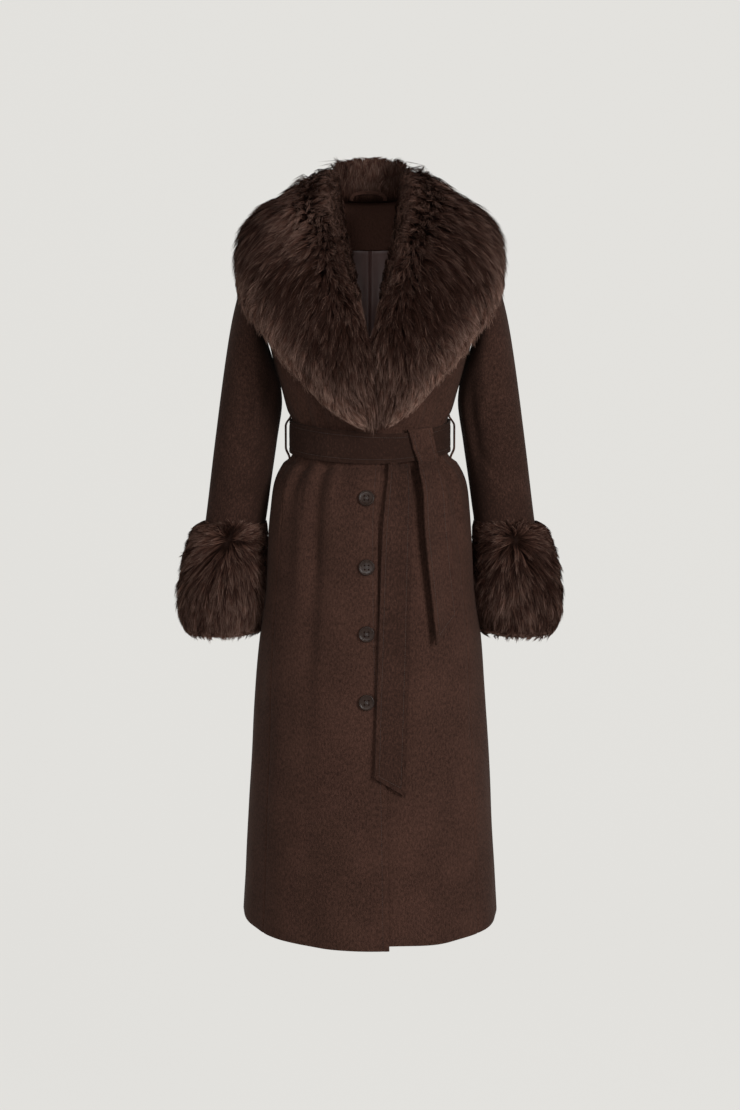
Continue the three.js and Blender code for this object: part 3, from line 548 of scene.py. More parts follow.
def side_surface(side):
    """A side panel under the arm: share 0 is its front seam. Its top is the armhole's lower half."""

    def surface(share, level):
        start, end = seam_angle.front(level) + SEAM_TURN, seam_angle.back(level) - SEAM_TURN
        top = CHEST - UNDERARM_DROP * np.sin(np.pi * np.clip(share, 0, 1)) ** 0.8
        bust = -229
        z = np.where(level <= bust, level, lerp(bust, top, (level - bust) / (CHEST - bust)))
        gap = np.minimum(share, 1 - share) * np.radians(end - start) * GIRTH_RADIUS
        return body_point(side * lerp(start, end, share), z, -seam_dip(gap))

    return surface


def armhole(side):
    """Points round the armhole from the shoulder tip down the front and up the back."""
    steps = np.linspace(1, 0, 22)
    front = front_surface(side)(1.0, CHEST + SHOULDER_RUN * steps)
    under = side_surface(side)(np.linspace(0.02, 0.98, 45), CHEST + 0.0)
    back = back_surface()(side * 1.0, CHEST + SHOULDER_RUN * steps[::-1])
    return np.concatenate([front, under, back[:-1]])


def sleeve_ring(side, row, turns, out=0.0):
    """A section of the sleeve through its outer and inner points, at turns from the outer one in radians."""
    out_x, out_z, in_x, in_z, deep, y = row
    outer, inner = places(side * out_x, y, out_z), places(side * in_x, y, in_z)
    middle, reach = (outer + inner) / 2, (outer - inner) / 2
    long = np.linalg.norm(reach, axis=-1, keepdims=True)
    reach = reach * (long + wide(out)) / long
    side_step = -(deep + out) * power(np.sin(turns), 2 / ROUNDNESS)
    return middle + reach * wide(power(np.cos(turns), 2 / ROUNDNESS)) + places(0, side_step, 0)


def armhole_at(side, turns):
    """Points of the armhole at turns round its middle, 0 being the shoulder tip, a quarter turn the front."""
    ring = armhole(side)
    middle = (ring.max(0) + ring.min(0)) / 2
    middle[1] = ring[:, 1].mean()
    high, deep = np.max(ring[:, 2]) - middle[2], np.max(np.abs(ring[:, 1] - middle[1]))
    at = np.arctan2(-(ring[:, 1] - middle[1]) / deep, (ring[:, 2] - middle[2]) / high) % (2 * np.pi)
    at[0] = 0
    order = np.argsort(at)
    at, ring = at[order], ring[order]
    at, ring = np.append(at, 2 * np.pi), np.vstack([ring, ring[:1]])
    return np.stack([np.interp(turns % (2 * np.pi), at, ring[:, k]) for k in range(3)], axis=-1)


def sleeve_surface(side):
    """A sleeve as a function of turn in degrees and distance down it, 0 being the armhole."""
    turns = np.radians(np.arange(0, 361, 3.0))
    start = armhole_at(side, turns) + np.array([side * 2 * SEAM, 0, 0])
    rings = np.stack([start] + [sleeve_ring(side, row, turns) for row in SLEEVE])
    steps = np.linalg.norm(np.diff(rings, axis=0), axis=-1).mean(axis=1)
    down = np.append(0, np.cumsum(steps))
    along = through(down, rings)

    def plain(turned, distance):
        turned, distance = np.broadcast_arrays(turned, distance)
        rows = along(distance[:, 0])
        at = turned[0] % 360.000001 / 3
        low = np.clip(at.astype(int), 0, len(turns) - 2)
        return lerp(rows[:, low], rows[:, low + 1], (at - low)[None, :, None])

    def surface(turned, distance):
        grid = plain(turned, distance)
        outwards = unit(grid - grid.mean(axis=1, keepdims=True))
        depth = np.zeros(grid.shape[:2])
        for which, turn_top, z_top, turn_foot, z_foot, deep, broad in SLEEVE_FOLDS:
            if which != side:
                continue
            share = (z_top - grid[..., 2]) / (z_top - z_foot)
            line = lerp(turn_top, turn_foot, np.clip(share, 0, 1))
            gap = np.radians(turn(turned + 0 * distance, line)) * 50
            fade = np.clip(1 - (2 * share - 1) ** 2, 0, 1) ** 1.2
            shape = bell(gap, broad) - 0.45 * bell(gap - 1.8 * broad, broad)
            depth += deep * fade * shape
        wave = 0.35 * np.sin(np.radians(3 * turned) + distance / 41) * np.sin(distance / 67 + 1)
        wave = wave - 9.5 * bell(turn(turned, 180), 45) * bell(grid[..., 2] + 242, 60)
        return grid - outwards * wide(depth + wave + seam_dip(distance) * 0.8)

    return surface, down[-1]


cuff_columns = columns("out_x in_x deep", CUFF)
sleeve_columns = columns("out_x in_x deep y", [(r[1], r[0], r[2], r[4], r[5]) for r in SLEEVE])


def cuff_point(side, turned, z, share):
    """A point of a fur cuff, share 0 being next to the sleeve and 1 the tips of the fur."""
    turns, y = np.radians(turned), sleeve_columns.y(z)
    cuff, sleeve = ((of.out_x(z), z, of.in_x(z), z, of.deep(z), y) for of in (cuff_columns, sleeve_columns))
    return lerp(sleeve_ring(side, sleeve, turns, CUFF_CLEAR), sleeve_ring(side, cuff, turns), wide(share))


def collar_half(side):
    """The functions of one half of the collar: its points, and the heights of the fur and of its skin."""
    tip = RIGHT_TIP if side < 0 else LEFT_TIP
    rows = [(i, *row) for i, row in enumerate(COLLAR + tip)]
    of = columns("neck_x neck_y neck_z edge_x edge_y edge_z bow fur stand lap", rows)

    def base(station, share):
        neck = places(of.neck_x(station), of.neck_y(station), of.neck_z(station))
        edge = places(of.edge_x(station), of.edge_y(station), of.edge_z(station))
        along = unit(edge - neck)
        bowing = (neck + edge) / 2 - CAPE_MIDDLE
        bowing = unit(bowing - along * wide(np.sum(bowing * along, axis=-1)))
        level = along.copy()
        level[..., 2] = along[..., 2] * smooth(3, 6, station)
        lap = neck - unit(level) * wide(of.lap(station) * (1 - share / LAP_SHARE))
        t = (share - LAP_SHARE) / (1 - LAP_SHARE)
        cape = lerp(neck, edge, wide(t)) + bowing * wide(of.bow(station) * np.sin(np.pi * np.clip(t, 0, 1)))
        return np.where(wide(share + 0 * station) < LAP_SHARE, lap, cape)

    def normal(station, share):
        station = np.clip(station, 0, LAST_STATION - 0.01)
        share = np.clip(share, 0.001, 0.999)
        out = outward(base, station, share, 0.01, 0.001)
        facing = np.sum(out * (base(station, share) - CAPE_MIDDLE), axis=-1)
        return out * wide(np.where(facing < 0, -1, 1))

    def rounding(share):
        return np.sqrt(np.clip(1 - np.abs(2 * share - 1) ** 5, 0, 1)) * 0.94 + 0.06

    def shrink(station):
        return 1 - 0.55 * smooth(LAST_STATION - 1.2, LAST_STATION, station)

    def stand(station, share):
        return of.stand(station) * bell(share - 0.06, 0.18)

    def height(station, share):
        return (of.fur(station) * rounding(share) + stand(station, share)) * shrink(station)

    def skin(station, share):
        crest = 0.36 + 0.28 * bell(share - 0.1, 0.12) * smooth(1.4, 2.2, station) * smooth(5, 4, station)
        return (crest * of.fur(station) * rounding(share) + 0.9 * stand(station, share)) * shrink(station)

    def point(station, share, high):
        """A point above the underside. Below station 0 it is mirrored, and past the last it hangs down."""
        over = np.where(station < 0, -1, 1)
        station = np.abs(station)
        lifted = normal(station, share) * wide(high)
        lifted[..., 0] *= smooth(0, 0.5, station)
        made = base(np.minimum(station, LAST_STATION), share) + lifted
        made[..., 2] -= np.maximum(station - LAST_STATION, 0) * PAST_TIP
        made[..., 0] = (made[..., 0] * over - SEAM / 2) * -side
        return made

    return SimpleNamespace(point=point, height=height, skin=skin)


# Meshes

def mesh_of(name, bm, rounded=True):
    """A mesh from a bmesh, which it ends."""
    for face in bm.faces:
        face.smooth = rounded
    mesh = bpy.data.meshes.new(name)
    bm.to_mesh(mesh)
    bm.free()
    return mesh


def grid_mesh(name, surface, across, along, closed=False, flip=False):
    """A sheet from a flat grid whose corners are moved to a surface. Its UV map is its cut, in metres."""
    across, along = np.asarray(across, float), np.asarray(along, float)
    grid = np.broadcast_to(surface(across[None, :], along[:, None]), (len(along), len(across), 3)) * MM
    step_x, step_y = (np.linalg.norm(np.diff(grid, axis=axis), axis=-1) for axis in (1, 0))
    from_middle = np.pad(np.cumsum(step_x, axis=1), ((0, 0), (1, 0)))
    from_middle -= from_middle[:, -1:] / 2
    up = np.pad(np.cumsum(step_y.mean(axis=1)), (1, 0))
    bm = bmesh.new()
    bmesh.ops.create_grid(bm, x_segments=len(across) - 1, y_segments=len(along) - 1, size=1)
    cut = bm.loops.layers.uv.new("cloth")
    for vertex in bm.verts:
        column = round((vertex.co.x + 1) / 2 * (len(across) - 1))
        row = round((vertex.co.y + 1) / 2 * (len(along) - 1))
        vertex.co = grid[row, column]
        for loop in vertex.link_loops:
            loop[cut].uv = (from_middle[row, column], up[row])
    if closed:
        bmesh.ops.remove_doubles(bm, verts=bm.verts, dist=1e-5)
    if flip:
        bmesh.ops.reverse_faces(bm, faces=bm.faces)
    return mesh_of(name, bm)


def piece(name, mesh, material, slot, stands_for=None):
    """A finished mesh as a piece of the coat. The node it stands for is its name without the last word."""
    made = bpy.data.objects.new(name, mesh)
    bpy.context.scene.collection.objects.link(made)
    mesh.materials.append(material)
    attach(made, "root")
    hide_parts(stands_for or name.rsplit("_", 1)[0])
    return made


def shade(mesh, least, most=0.0, towards=(0, 0, 0)):
    """Stores how much painted shade darkens a mesh's wool, the most where it faces one way; a value below 0 is
    painted light, which lightens it.
    """
    facing = np.array([vertex.normal for vertex in mesh.vertices]) @ np.array(towards, float)
    layer = mesh.attributes.new("shade", "FLOAT", "POINT")
    layer.data.foreach_set("value", least + most * smooth(0.0, 1.0, facing))


def thickened(made, thick, rim=0.7):
    """Gives a sheet its thickness on the inner side and a rounded rim."""
    wall = made.modifiers.new("thickness", "SOLIDIFY")
    wall.thickness = thick * MM
    wall.offset = -1
    round_rim = made.modifiers.new("rim", "BEVEL")
    round_rim.width = rim * MM
    round_rim.segments = 2
    round_rim.limit_method = "ANGLE"
    round_rim.angle_limit = math.radians(50)
    return made


def repeated(name, template, corners, uv=None):
    """One mesh of many copies of a small one. corners holds every copy's corners, in metres."""
    count, size = corners.shape[:2]
    loops = np.array([v.index for f in template.faces for v in f.verts])
    lengths = np.array([len(f.verts) for f in template.faces])
    starts = np.append(0, np.cumsum(lengths)[:-1])
    copy = np.arange(count)[:, None]
    mesh = bpy.data.meshes.new(name)
    mesh.vertices.add(count * size)
    mesh.vertices.foreach_set("co", corners.astype(np.float32).ravel())
    mesh.loops.add(count * len(loops))
    mesh.loops.foreach_set("vertex_index", (loops + size * copy).astype(np.int32).ravel())
    mesh.polygons.add(count * len(lengths))
    mesh.polygons.foreach_set("loop_start", (starts + len(loops) * copy).astype(np.int32).ravel())
    if uv is not None:
        layer = mesh.uv_layers.new(name="OFBake")
        layer.data.foreach_set("uv", uv[:, loops].astype(np.float32).ravel())
    mesh.polygons.foreach_set("use_smooth", np.ones(count * len(lengths), bool))
    mesh.update(calc_edges=True)
    mesh.validate()
    return mesh


# Materials

class Signal:
    """A socket that carries a number, so that shader maths reads as plain expressions."""

    def __init__(self, shader, socket):
        self.shader = shader
        self.socket = socket

    def _with(self, operation, other):
        return self.shader.node("ShaderNodeMath", {"operation": operation}, {0: self, 1: other})

    def __add__(self, other):
        return self._with("ADD", other)

    def __sub__(self, other):
        return self._with("SUBTRACT", other)

    def __mul__(self, other):
        return self._with("MULTIPLY", other)

    __rmul__ = __mul__


class Shader:
    """A material whose nodes are made by expressions. Its surface is one Principled shader."""

    def __init__(self, name, **constants):
        self.material = bpy.data.materials.new(name)
        self.material.use_nodes = True
        self.tree = self.material.node_tree
        self.surface = self.tree.nodes["Principled BSDF"]
        for socket, value in constants.items():
            self.set(socket.replace("_", " "), value)

    def node(self, kind, settings, sockets, output=0):
        made = self.tree.nodes.new(kind)
        for key, value in settings.items():
            setattr(made, key, value)
        for key, value in sockets.items():
            self.feed(made.inputs[key], value)
        return Signal(self, made.outputs[output])

    def feed(self, socket, value):
        if isinstance(value, Signal):
            self.tree.links.new(value.socket, socket)
        else:
            socket.default_value = value

    def set(self, socket, value):
        self.feed(self.surface.inputs[socket], value)

    def between(self, value, low, high, start=0.0, end=1.0):
        """A value's range mapped softly to another one."""
        sockets = {"Value": value, "From Min": low, "From Max": high, "To Min": start, "To Max": end}
        return self.node("ShaderNodeMapRange", {"interpolation_type": "SMOOTHSTEP"}, sockets)

    def blend(self, factor, first, second):
        """A colour between two."""
        first, second = (color if isinstance(color, Signal) else (*color, 1) for color in (first, second))
        settings = {"data_type": "RGBA", "clamp_factor": True}
        return self.node("ShaderNodeMix", settings, {0: factor, 6: first, 7: second}, output=2)

    def noise(self, scale, detail=2.0, roughness=0.5, distortion=0.0, stretch=(1, 1, 1), solid=False):
        """Noise over a piece's cut, or through the coat's own space where solid is set."""
        if solid:
            place = self.node("ShaderNodeTexCoord", {}, {}, output="Object")
        else:
            place = self.node("ShaderNodeUVMap", {"uv_map": "cloth"}, {})
        place = self.node("ShaderNodeMapping", {}, {"Vector": place, "Scale": stretch})
        sockets = {"Vector": place, "Scale": scale, "Detail": detail, "Roughness": roughness}
        return self.node("ShaderNodeTexNoise", {}, {**sockets, "Distortion": distortion})

    def bump(self, height, distance, strength=1.0):
        sockets = {"Height": height, "Distance": distance, "Strength": strength}
        self.set("Normal", self.node("ShaderNodeBump", {}, sockets))


def make_wool():
    """Brushed wool: brown fibres of several tones that lie down the coat, under a short soft nap."""
    sheen = {"Sheen_Weight": 0.02, "Sheen_Roughness": 0.45, "Sheen_Tint": (0.75, 0.6, 0.5, 1)}
    shader = Shader("wool", Roughness=0.95, Specular_IOR_Level=0.06, **sheen)
    fibres = shader.noise(1500, 3, 0.7, stretch=(1, 0.3, 1))
    tufts = shader.noise(380, 3, 0.65, 0.6, stretch=(1, 0.45, 1))
    clouds = shader.between(shader.noise(14, solid=True), 0.35, 0.68, -0.04, 0.08)
    # Painted shade stored on each piece darkens the wool, and painted light, stored below 0, lightens it
    darker = shader.node("ShaderNodeAttribute", {"attribute_name": "shade"}, {}, output="Fac")
    lightness = 0.75 * shader.between(0.55 * fibres + 0.45 * tufts, 0.36, 0.66) + clouds - darker
    shader.set("Base Color", shader.blend(lightness, (0.0110, 0.0050, 0.0034), (0.0510, 0.0240, 0.0172)))
    shader.bump(0.4 * fibres + 0.6 * tufts, 0.0007, 0.6)
    return shader.material


def make_fur():
    """Fur strands, coloured by their UV map: a strand's own tone across it, root to tip up it."""
    shader = Shader("fur_strands", Roughness=0.6, Specular_IOR_Level=0.01)
    both = shader.node("ShaderNodeUVMap", {"uv_map": "OFBake"}, {})
    tone, along = (shader.node("ShaderNodeSeparateXYZ", {}, {0: both}, output=axis) for axis in (0, 1))
    root = (0.0058, 0.0025, 0.0016)
    hair = shader.blend(tone, (0.0080, 0.0032, 0.0021), (0.088, 0.045, 0.033))
    tip = shader.blend(tone, (0.0110, 0.0045, 0.0030), (0.270, 0.170, 0.135))
    color = shader.blend(shader.between(along, 0.05, 0.5), root, hair)
    shader.set("Base Color", shader.blend(shader.between(along, 0.55, 1.0), color, tip))
    return shader.material


def make_skin():
    """The dense underwool that shows between the locks, coloured darker than the fur as painted shade of the
    depths there.
    """
    shader = Shader("underwool", Roughness=1.0, Specular_IOR_Level=0.05)
    tufts = shader.noise(260, 4, 0.7, 1, stretch=(1, 0.4, 1))
    shader.set("Base Color", shader.blend(tufts, (0.003, 0.0013, 0.0009), (0.011, 0.005, 0.0035)))
    shader.bump(tufts, 0.003)
    return shader.material


def make_satin():
    """A smooth woven lining with a soft gloss."""
    shader = Shader("satin", Specular_IOR_Level=0.2)
    threads = shader.noise(2600, stretch=(0.15, 1, 1))
    waves = shader.noise(55, stretch=(1, 0.35, 1))
    shader.set("Base Color", shader.blend(waves, (0.058, 0.031, 0.027), (0.106, 0.060, 0.053)))
    shader.set("Roughness", shader.between(threads, 0.3, 0.7, 0.34, 0.46))
    shader.bump(0.15 * threads + 0.85 * waves, 0.0012, 0.5)
    return shader.material


def make_horn():
    """Dark mottled button horn with a satin polish."""
    shader = Shader("button_horn", Specular_IOR_Level=0.14, Coat_Weight=0.02, Coat_Roughness=0.3)
    streaks = shader.noise(260, 4, distortion=1.5, stretch=(1, 1, 0.35), solid=True)
    shader.set("Base Color", shader.blend(streaks, (0.0045, 0.0024, 0.0017), (0.021, 0.0112, 0.0078)))
    shader.set("Roughness", shader.between(streaks, 0.3, 0.7, 0.28, 0.42))
    return shader.material


def make_thread():
    """Twisted sewing thread, a little darker than the wool; the dark is partly painted shade that stands for
    the groove the stitches sink into.
    """
    shader = Shader("thread", Roughness=0.6)
    twist = shader.noise(1800, 1, solid=True)
    shader.set("Base Color", shader.blend(twist, (0.0075, 0.0038, 0.0028), (0.020, 0.0105, 0.0078)))
    return shader.material


WOOL, FUR, PAINTED_SHADE_SKIN, SATIN, HORN, THREAD = (
    make() for make in (make_wool, make_fur, make_skin, make_satin, make_horn, make_thread)
)

# Panels of the body

STITCH_INSET = 8  # distance of the topstitching from a front's edge
FRONT_WIDTH = 190  # about how wide a front is, which turns shares of it into millimetres
SIDES = (("right", -1), ("left", 1))


def levels(low, high, step):
    return np.linspace(low, high, max(2, round((high - low) / step)) + 1)


def joined(*runs):
    """Several runs of places as one, in order and each place once."""
    return np.unique(np.concatenate(runs))


def cloth(name, surface, across, along, thick=CLOTH, *, look=(WOOL, "wool"), rim=0.7, shaded=None,
          closed=False, flip=False, stands_for=None):
    """A piece of cloth made from a surface. shaded holds what shade() is told."""
    mesh = grid_mesh(name, surface, across, along, closed, flip)
    if shaded:
        shade(mesh, *shaded)
    return thickened(piece(name, mesh, *look, stands_for), thick, rim)


def body_levels(top):
    """Levels from the hem up, closer together round the waist, where the folds are fine."""
    return joined(levels(HEM, -600, 15), levels(-600, -400, 8), levels(-400, -240, 5), levels(-240, top, 9))


def front_shares():
    """Shares across a front, closer together at its stitched edge and at its seam."""
    edge = np.array([0, 1.2, 3, 5.5, 7, 8, 9, 11]) / FRONT_WIDTH
    seam = 1 - np.array([0, 1, 2.2, 4.5]) / FRONT_WIDTH
    return joined(edge, np.linspace(15 / FRONT_WIDTH, 1 - 8 / FRONT_WIDTH, 44), seam)


def stitched_front(side):
    """A front with the groove that its topstitching draws in."""
    plain = front_surface(side)

    def surface(share, level):
        made = plain(share, level)
        gap = np.abs(share) * FRONT_WIDTH
        groove = 0.5 * bell(gap - STITCH_INSET, 1.1) - 0.35 * bell(gap - 4, 3)
        below_chest = split_level(level)[0] < CHEST
        return made - unit(made * np.array([1, 1, 0])) * wide(groove * below_chest)

    return surface


for label, side in SIDES:
    front = cloth(f"front_{label}_wool", stitched_front(side), front_shares(), body_levels(0), flip=side < 0)
    shares = joined([0, 0.01, 0.022, 0.045], np.linspace(0.08, 0.92, 26), [0.955, 0.978, 0.99, 1])
    panel = cloth(f"side_{label}_wool", side_surface(side), shares, body_levels(CHEST), flip=side < 0)

half_back = np.append(np.linspace(0, 0.96, 48), [0.973, 0.986, 0.994, 1])
back = cloth("back_wool", back_surface(), np.append(-half_back[:0:-1], half_back), body_levels(0), flip=True)

INSIDE = -CLOTH - 2 * SEAM
FACING_FOOT = 0.346  # share of the way up the shoulder where the facing ends and the lining begins
LINING_FOOT = -310
inner_shares = np.linspace(-0.76, 0.76, 51)
facing_levels = CHEST + SHOULDER_RUN * np.linspace(FACING_FOOT, 0.95, 26)
# Painted light makes the facing inside the neck lighter, standing for light that reaches into the neck
facing = cloth(
    "neck_facing_wool", back_surface(INSIDE), inner_shares, facing_levels, CLOTH * 0.8,
    shaded=(-0.6,), flip=True, stands_for="back_neck_facing",
)
upper_lining = CHEST + SHOULDER_RUN * np.linspace(0.03, FACING_FOOT - 0.006, 14)
lining = cloth(
    "back_lining_satin", back_surface(INSIDE, pleat=2.4), joined(inner_shares, np.linspace(-0.12, 0.12, 49)),
    np.append(levels(LINING_FOOT, CHEST, 9), upper_lining), LINING, look=(SATIN, "satin"), rim=0.3, flip=True,
)

# Sleeves

for label, side in SIDES:
    surface, long = sleeve_surface(side)
    down = joined([0, 1, 2.2, 4, 7], levels(10, 230, 6), levels(230, 480, 5), levels(480, long, 12))
    # Painted shade darkens the sleeves, the most on their inner side next to the body
    sleeve = cloth(
        f"sleeve_{label}_wool", surface, np.arange(0, 361, 5.0), down,
        shaded=(0.21, 0.16, (-side, 0, 0)), closed=True, flip=side < 0,
    )

# Belt

ROW_INSET = 7  # distance of the belt's two rows of sewing from its edges
BELT_RIM = 1.3
STRAP_WIDE = 48  # about how wide the loose ends are
# The loose ends: name, sections, how far the foot is cut aslant, flat size, and how much painted shade darkens
# each beyond the panels
STRAPS = (
    ("belt_long_end", LONG_END, 30, (0.049, 0.5), 0.18),
    ("belt_short_end", SHORT_END, -40, (0.053, 0.33), 0.04),
)
# How the tied belt rides up and down: places round the body, then the moves of its upper and lower edge
BELT_SWAY = [
    (-180, -120, -90, -60, -40, -20, 0, 18, 36, 60, 90, 130, 180),
    (0, 2, 5, 6, 5, 3, 0, -2, -1, 2, 4, 1, 0),
    (0, 1, 2.5, 3, 2.5, 1.5, 0.5, 1, 3, 5, 4, 1, 0),
]
# Its small wrinkles: place round the body, place across it, depth
BELT_WRINKLES = ((19, 0.2, 1.5), (23, -0.06, 1.3), (20, -0.3, 1.2), (58, 0.12, 1.4), (64, -0.2, 1.3))


def padded(across, width):
    """How far the belt's filling stands out between its edges, less at its two rows of sewing."""
    from_row = np.abs(np.abs(across) * width - (width / 2 - ROW_INSET))
    return 0.35 * np.cos(np.pi * across * 0.96) - 0.55 * bell(from_row, 1.1)


def strap_surface(table, cut):
    """A loose end of the belt as a function of place across it and height. Its last rows are cut aslant."""
    of = columns("x wide off", table)
    foot, last = sorted(row[0] for row in table)[:2]

    def surface(across, z):
        across, z = np.broadcast_arrays(across, z)
        angle = angle_at(of.x(z), z)
        normal = ring_out(angle, z)
        lean = unit(places(of.x(z + 3) - of.x(z - 3), 0, 6))
        sideways = unit(np.cross(lean, normal))
        proud = 6 * smooth(0.15, -0.5, across) * smooth(-350, -440, z) if cut < 0 else 2 * np.abs(across)
        away = of.off(z) + BELT.thick - 0.3 + padded(across, of.wide(z)) + proud
        made = ring_point(angle, z) + normal * wide(away) + sideways * wide(across * of.wide(z))
        return made - lean * wide(cut * across * np.clip((last - z) / (last - foot), 0, 1))

    return surface


half_strap = np.array([0.08, 0.17, 0.25, 0.31, 0.34, 0.357, 0.375, 0.4, 0.45, 0.485, 0.5])
strap_columns = np.concatenate([-half_strap[::-1], [0], half_strap])
for name, table, cut, size, darker in STRAPS:
    heights = levels(table[-1][0], table[0][0], 7)
    if table is SHORT_END:
        heights = joined(heights[heights < -346], levels(-345, -338, 1))
    # Each loose end is darkened by its painted shade
    strap = cloth(
        f"{name}_wool", strap_surface(table, cut), strap_columns, heights, BELT.thick - 0.5,
        rim=BELT_RIM, shaded=(darker,),
    )


def belt_surface(angle, across):
    """The belt round the waist as a function of angle and place across it."""
    upper, lower = (np.interp(angle, BELT_SWAY[0], BELT_SWAY[row]) for row in (1, 2))
    z = BELT.middle + across * BELT.wide + lerp(lower, upper, across + 0.5)
    z, angle = np.broadcast_arrays(z, angle)
    stand_off = BELT.clear + LAP_LIFT * smooth(-46, -30, angle) * (1 - smooth(20, 34, angle))
    fold = bell(across + 0.08 + 0.05 * np.sin(np.radians(angle) * 3), 0.05)
    pillow = padded(across, BELT.wide) - 0.35 * fold
    for place, row, deep in BELT_WRINKLES:
        pillow = pillow - deep * bell(angle - place, 8) * bell(across - row, 0.05)
    wave = 0.25 * np.sin(np.radians(angle) * 5 + across * 3) * np.sin(np.radians(angle) * 2 + 1)
    return ring_point(angle, z) + ring_out(angle, z) * wide(stand_off + BELT.thick - 0.2 + pillow + wave)


# Painted shade darkens the band, standing for the shade that the collar and the side light leave on it
band = cloth(
    "belt_band_wool", belt_surface, np.arange(-180, 180.5, 2.0), strap_columns, BELT.thick - 0.7,
    rim=BELT_RIM, shaded=(0.38,), closed=True,
)

LOOP = SimpleNamespace(wide=9, thick=2.6, out=136.6, top=-331, foot=-402, top_x=127.6, foot_x=130.6)


def loop_surface(side):
    """A belt loop as a function of place across it and share of the way down."""

    def surface(across, t):
        bend = np.minimum(1, np.sin(np.pi * t) * 1.35)
        x = lerp(lerp(LOOP.top_x, LOOP.foot_x, t), LOOP.out, smooth(0, 1, bend)) + LOOP.thick / 2 - 0.9
        return places(side * x, across * LOOP.wide, lerp(LOOP.top, LOOP.foot, t))

    return surface


for label, side in SIDES:
    loop = cloth(
        f"belt_loop_{label}_wool", loop_surface(side), [-0.5, -0.42, -0.3, -0.1, 0.1, 0.3, 0.42, 0.5],
        np.linspace(1, 0, 33), LOOP.thick + 0.6, rim=1.1, flip=side < 0,
    )

HANGER = SimpleNamespace(middle=-3, half=27, rise=13, wide=6, thick=1.8, foot=9.5, foot_clear=4.6, clear=9)


def hanger_surface(across, t):
    """The loop that the coat hangs up by, as a function of place across it and share of its length."""
    x, up = -np.cos(np.pi * t), np.sin(np.pi * t) ** 0.6
    leave = unit(places(x, 0, up * 0.9))
    middle_x = HANGER.middle + HANGER.half * x
    neck = np.sqrt(np.clip(1 - (middle_x / (NECK_POINT[0] - 6)) ** 2, 0, 1))
    y = (BACK_NECK[0] - 7) * neck - lerp(HANGER.foot_clear, HANGER.clear, up)
    return places(middle_x, y, HANGER.foot + HANGER.rise * up) + leave * wide(across * HANGER.wide)


hanger = cloth(
    "hanger_loop_wool", hanger_surface, [-0.5, -0.3, 0, 0.3, 0.5], np.linspace(0, 1, 41),
    HANGER.thick * 0.8, rim=0.5,
)

# Topstitching

STITCH = SimpleNamespace(long=2.7, pitch=3.5, wide=0.62, high=0.42)


def sampled(at, values, along):
    """Points or directions between those of a line, at distances along it."""
    return np.stack([np.interp(along, at, values[:, axis]) for axis in range(3)], axis=-1)


def stitch_corners(line, normals, shape):
    """The corners of the stitches along a line of points, each one a copy of a small rounded body."""
    at = np.append(0, np.cumsum(np.linalg.norm(np.diff(line, axis=0), axis=1)))
    along = np.arange(STITCH.pitch / 2, at[-1], STITCH.pitch)
    middle, out = sampled(at, line, along), unit(sampled(at, normals, along))
    ahead = unit(sampled(at, line, along + 0.5) - sampled(at, line, along - 0.5))
    axes = np.stack([ahead, np.cross(out, ahead), out], axis=1)
    return middle[:, None] + shape @ axes


def surface_line(surface, u, v):
    """Points along a surface where one of its two numbers is held, and the directions straight out of it."""
    du, dv = (0.01, 1.0) if np.ndim(u) == 0 else (1.0, 0.01)
    u, v = np.broadcast_arrays(np.asarray(u, float), np.asarray(v, float))

    def at(a, b):
        return np.array([surface(np.array([[p]]), np.array([[q]]))[0, 0] for p, q in zip(a, b)])

    line = at(u, v)
    return line, unit(np.cross(at(u + du, v) - line, at(u, v + dv) - line))


def sew(name, runs, stands_for=None):
    """Rows of stitches as one piece, each row given as its points and the directions straight out."""
    template = bmesh.new()
    bmesh.ops.create_icosphere(template, subdivisions=1, radius=1)
    shape = np.array([v.co for v in template.verts]) * (STITCH.long / 2, STITCH.wide / 2, STITCH.high / 2)
    shape[:, 2] += 0.12
    corners = np.concatenate([stitch_corners(line, normals, shape) for line, normals in runs])
    mesh = repeated(name, template, corners * MM)
    template.free()
    piece(name, mesh, THREAD, "wool", stands_for)


line, normals = surface_line(stitched_front(-1), STITCH_INSET / FRONT_WIDTH, levels(HEM + 4, -300, 9))
sew("front_edge_stitches", [(line, -normals)], "front_right")
band_rows = (-0.5 + ROW_INSET / BELT.wide, 0.5 - ROW_INSET / BELT.wide)
sew("belt_band_stitches", [surface_line(belt_surface, np.arange(-180, 181, 3.0), row) for row in band_rows])
for name, table, cut, _, _ in STRAPS:
    row = 0.5 - ROW_INSET / STRAP_WIDE
    heights = levels(table[-1][0] + 8, table[0][0] - 8, 8)
    surface = strap_surface(table, cut)
    runs = [surface_line(surface, across, heights) for across in (-row, row)]
    sew(f"{name}_stitches", [*runs, surface_line(surface, np.linspace(-row, row, 12), heights[0])])

# Buttons

BUTTON = SimpleNamespace(radius=12.5, thick=4.2, rim=2.2, face=2.9, holes_apart=6.2, hole=1.5, threads=5)


def button_horn(bm):
    """A round button with a raised rim, its back at z = 0, in millimetres."""
    r, top, inner = BUTTON.radius, BUTTON.thick, BUTTON.radius - BUTTON.rim
    profile = [
        (0, 0), (r - 1.4, 0), (r - 0.3, 0.6), (r, 1.5), (r - 0.1, 2.6), (r - 0.5, 3.6), (r - 1.1, top),
        (r - 1.7, top), (inner, 3.3), (inner - 1.2, 2.95), (6, BUTTON.face), (0, BUTTON.face),
    ]
    chain = [bm.verts.new((x, 0, z)) for x, z in profile]
    spun = chain + [bm.edges.new(pair) for pair in zip(chain, chain[1:])]
    bmesh.ops.spin(bm, geom=spun, cent=(0, 0, 0), axis=(0, 0, 1), angle=math.tau, steps=48, use_merge=True)
    bmesh.ops.remove_doubles(bm, verts=bm.verts, dist=1e-4)
    bmesh.ops.recalc_face_normals(bm, faces=bm.faces)


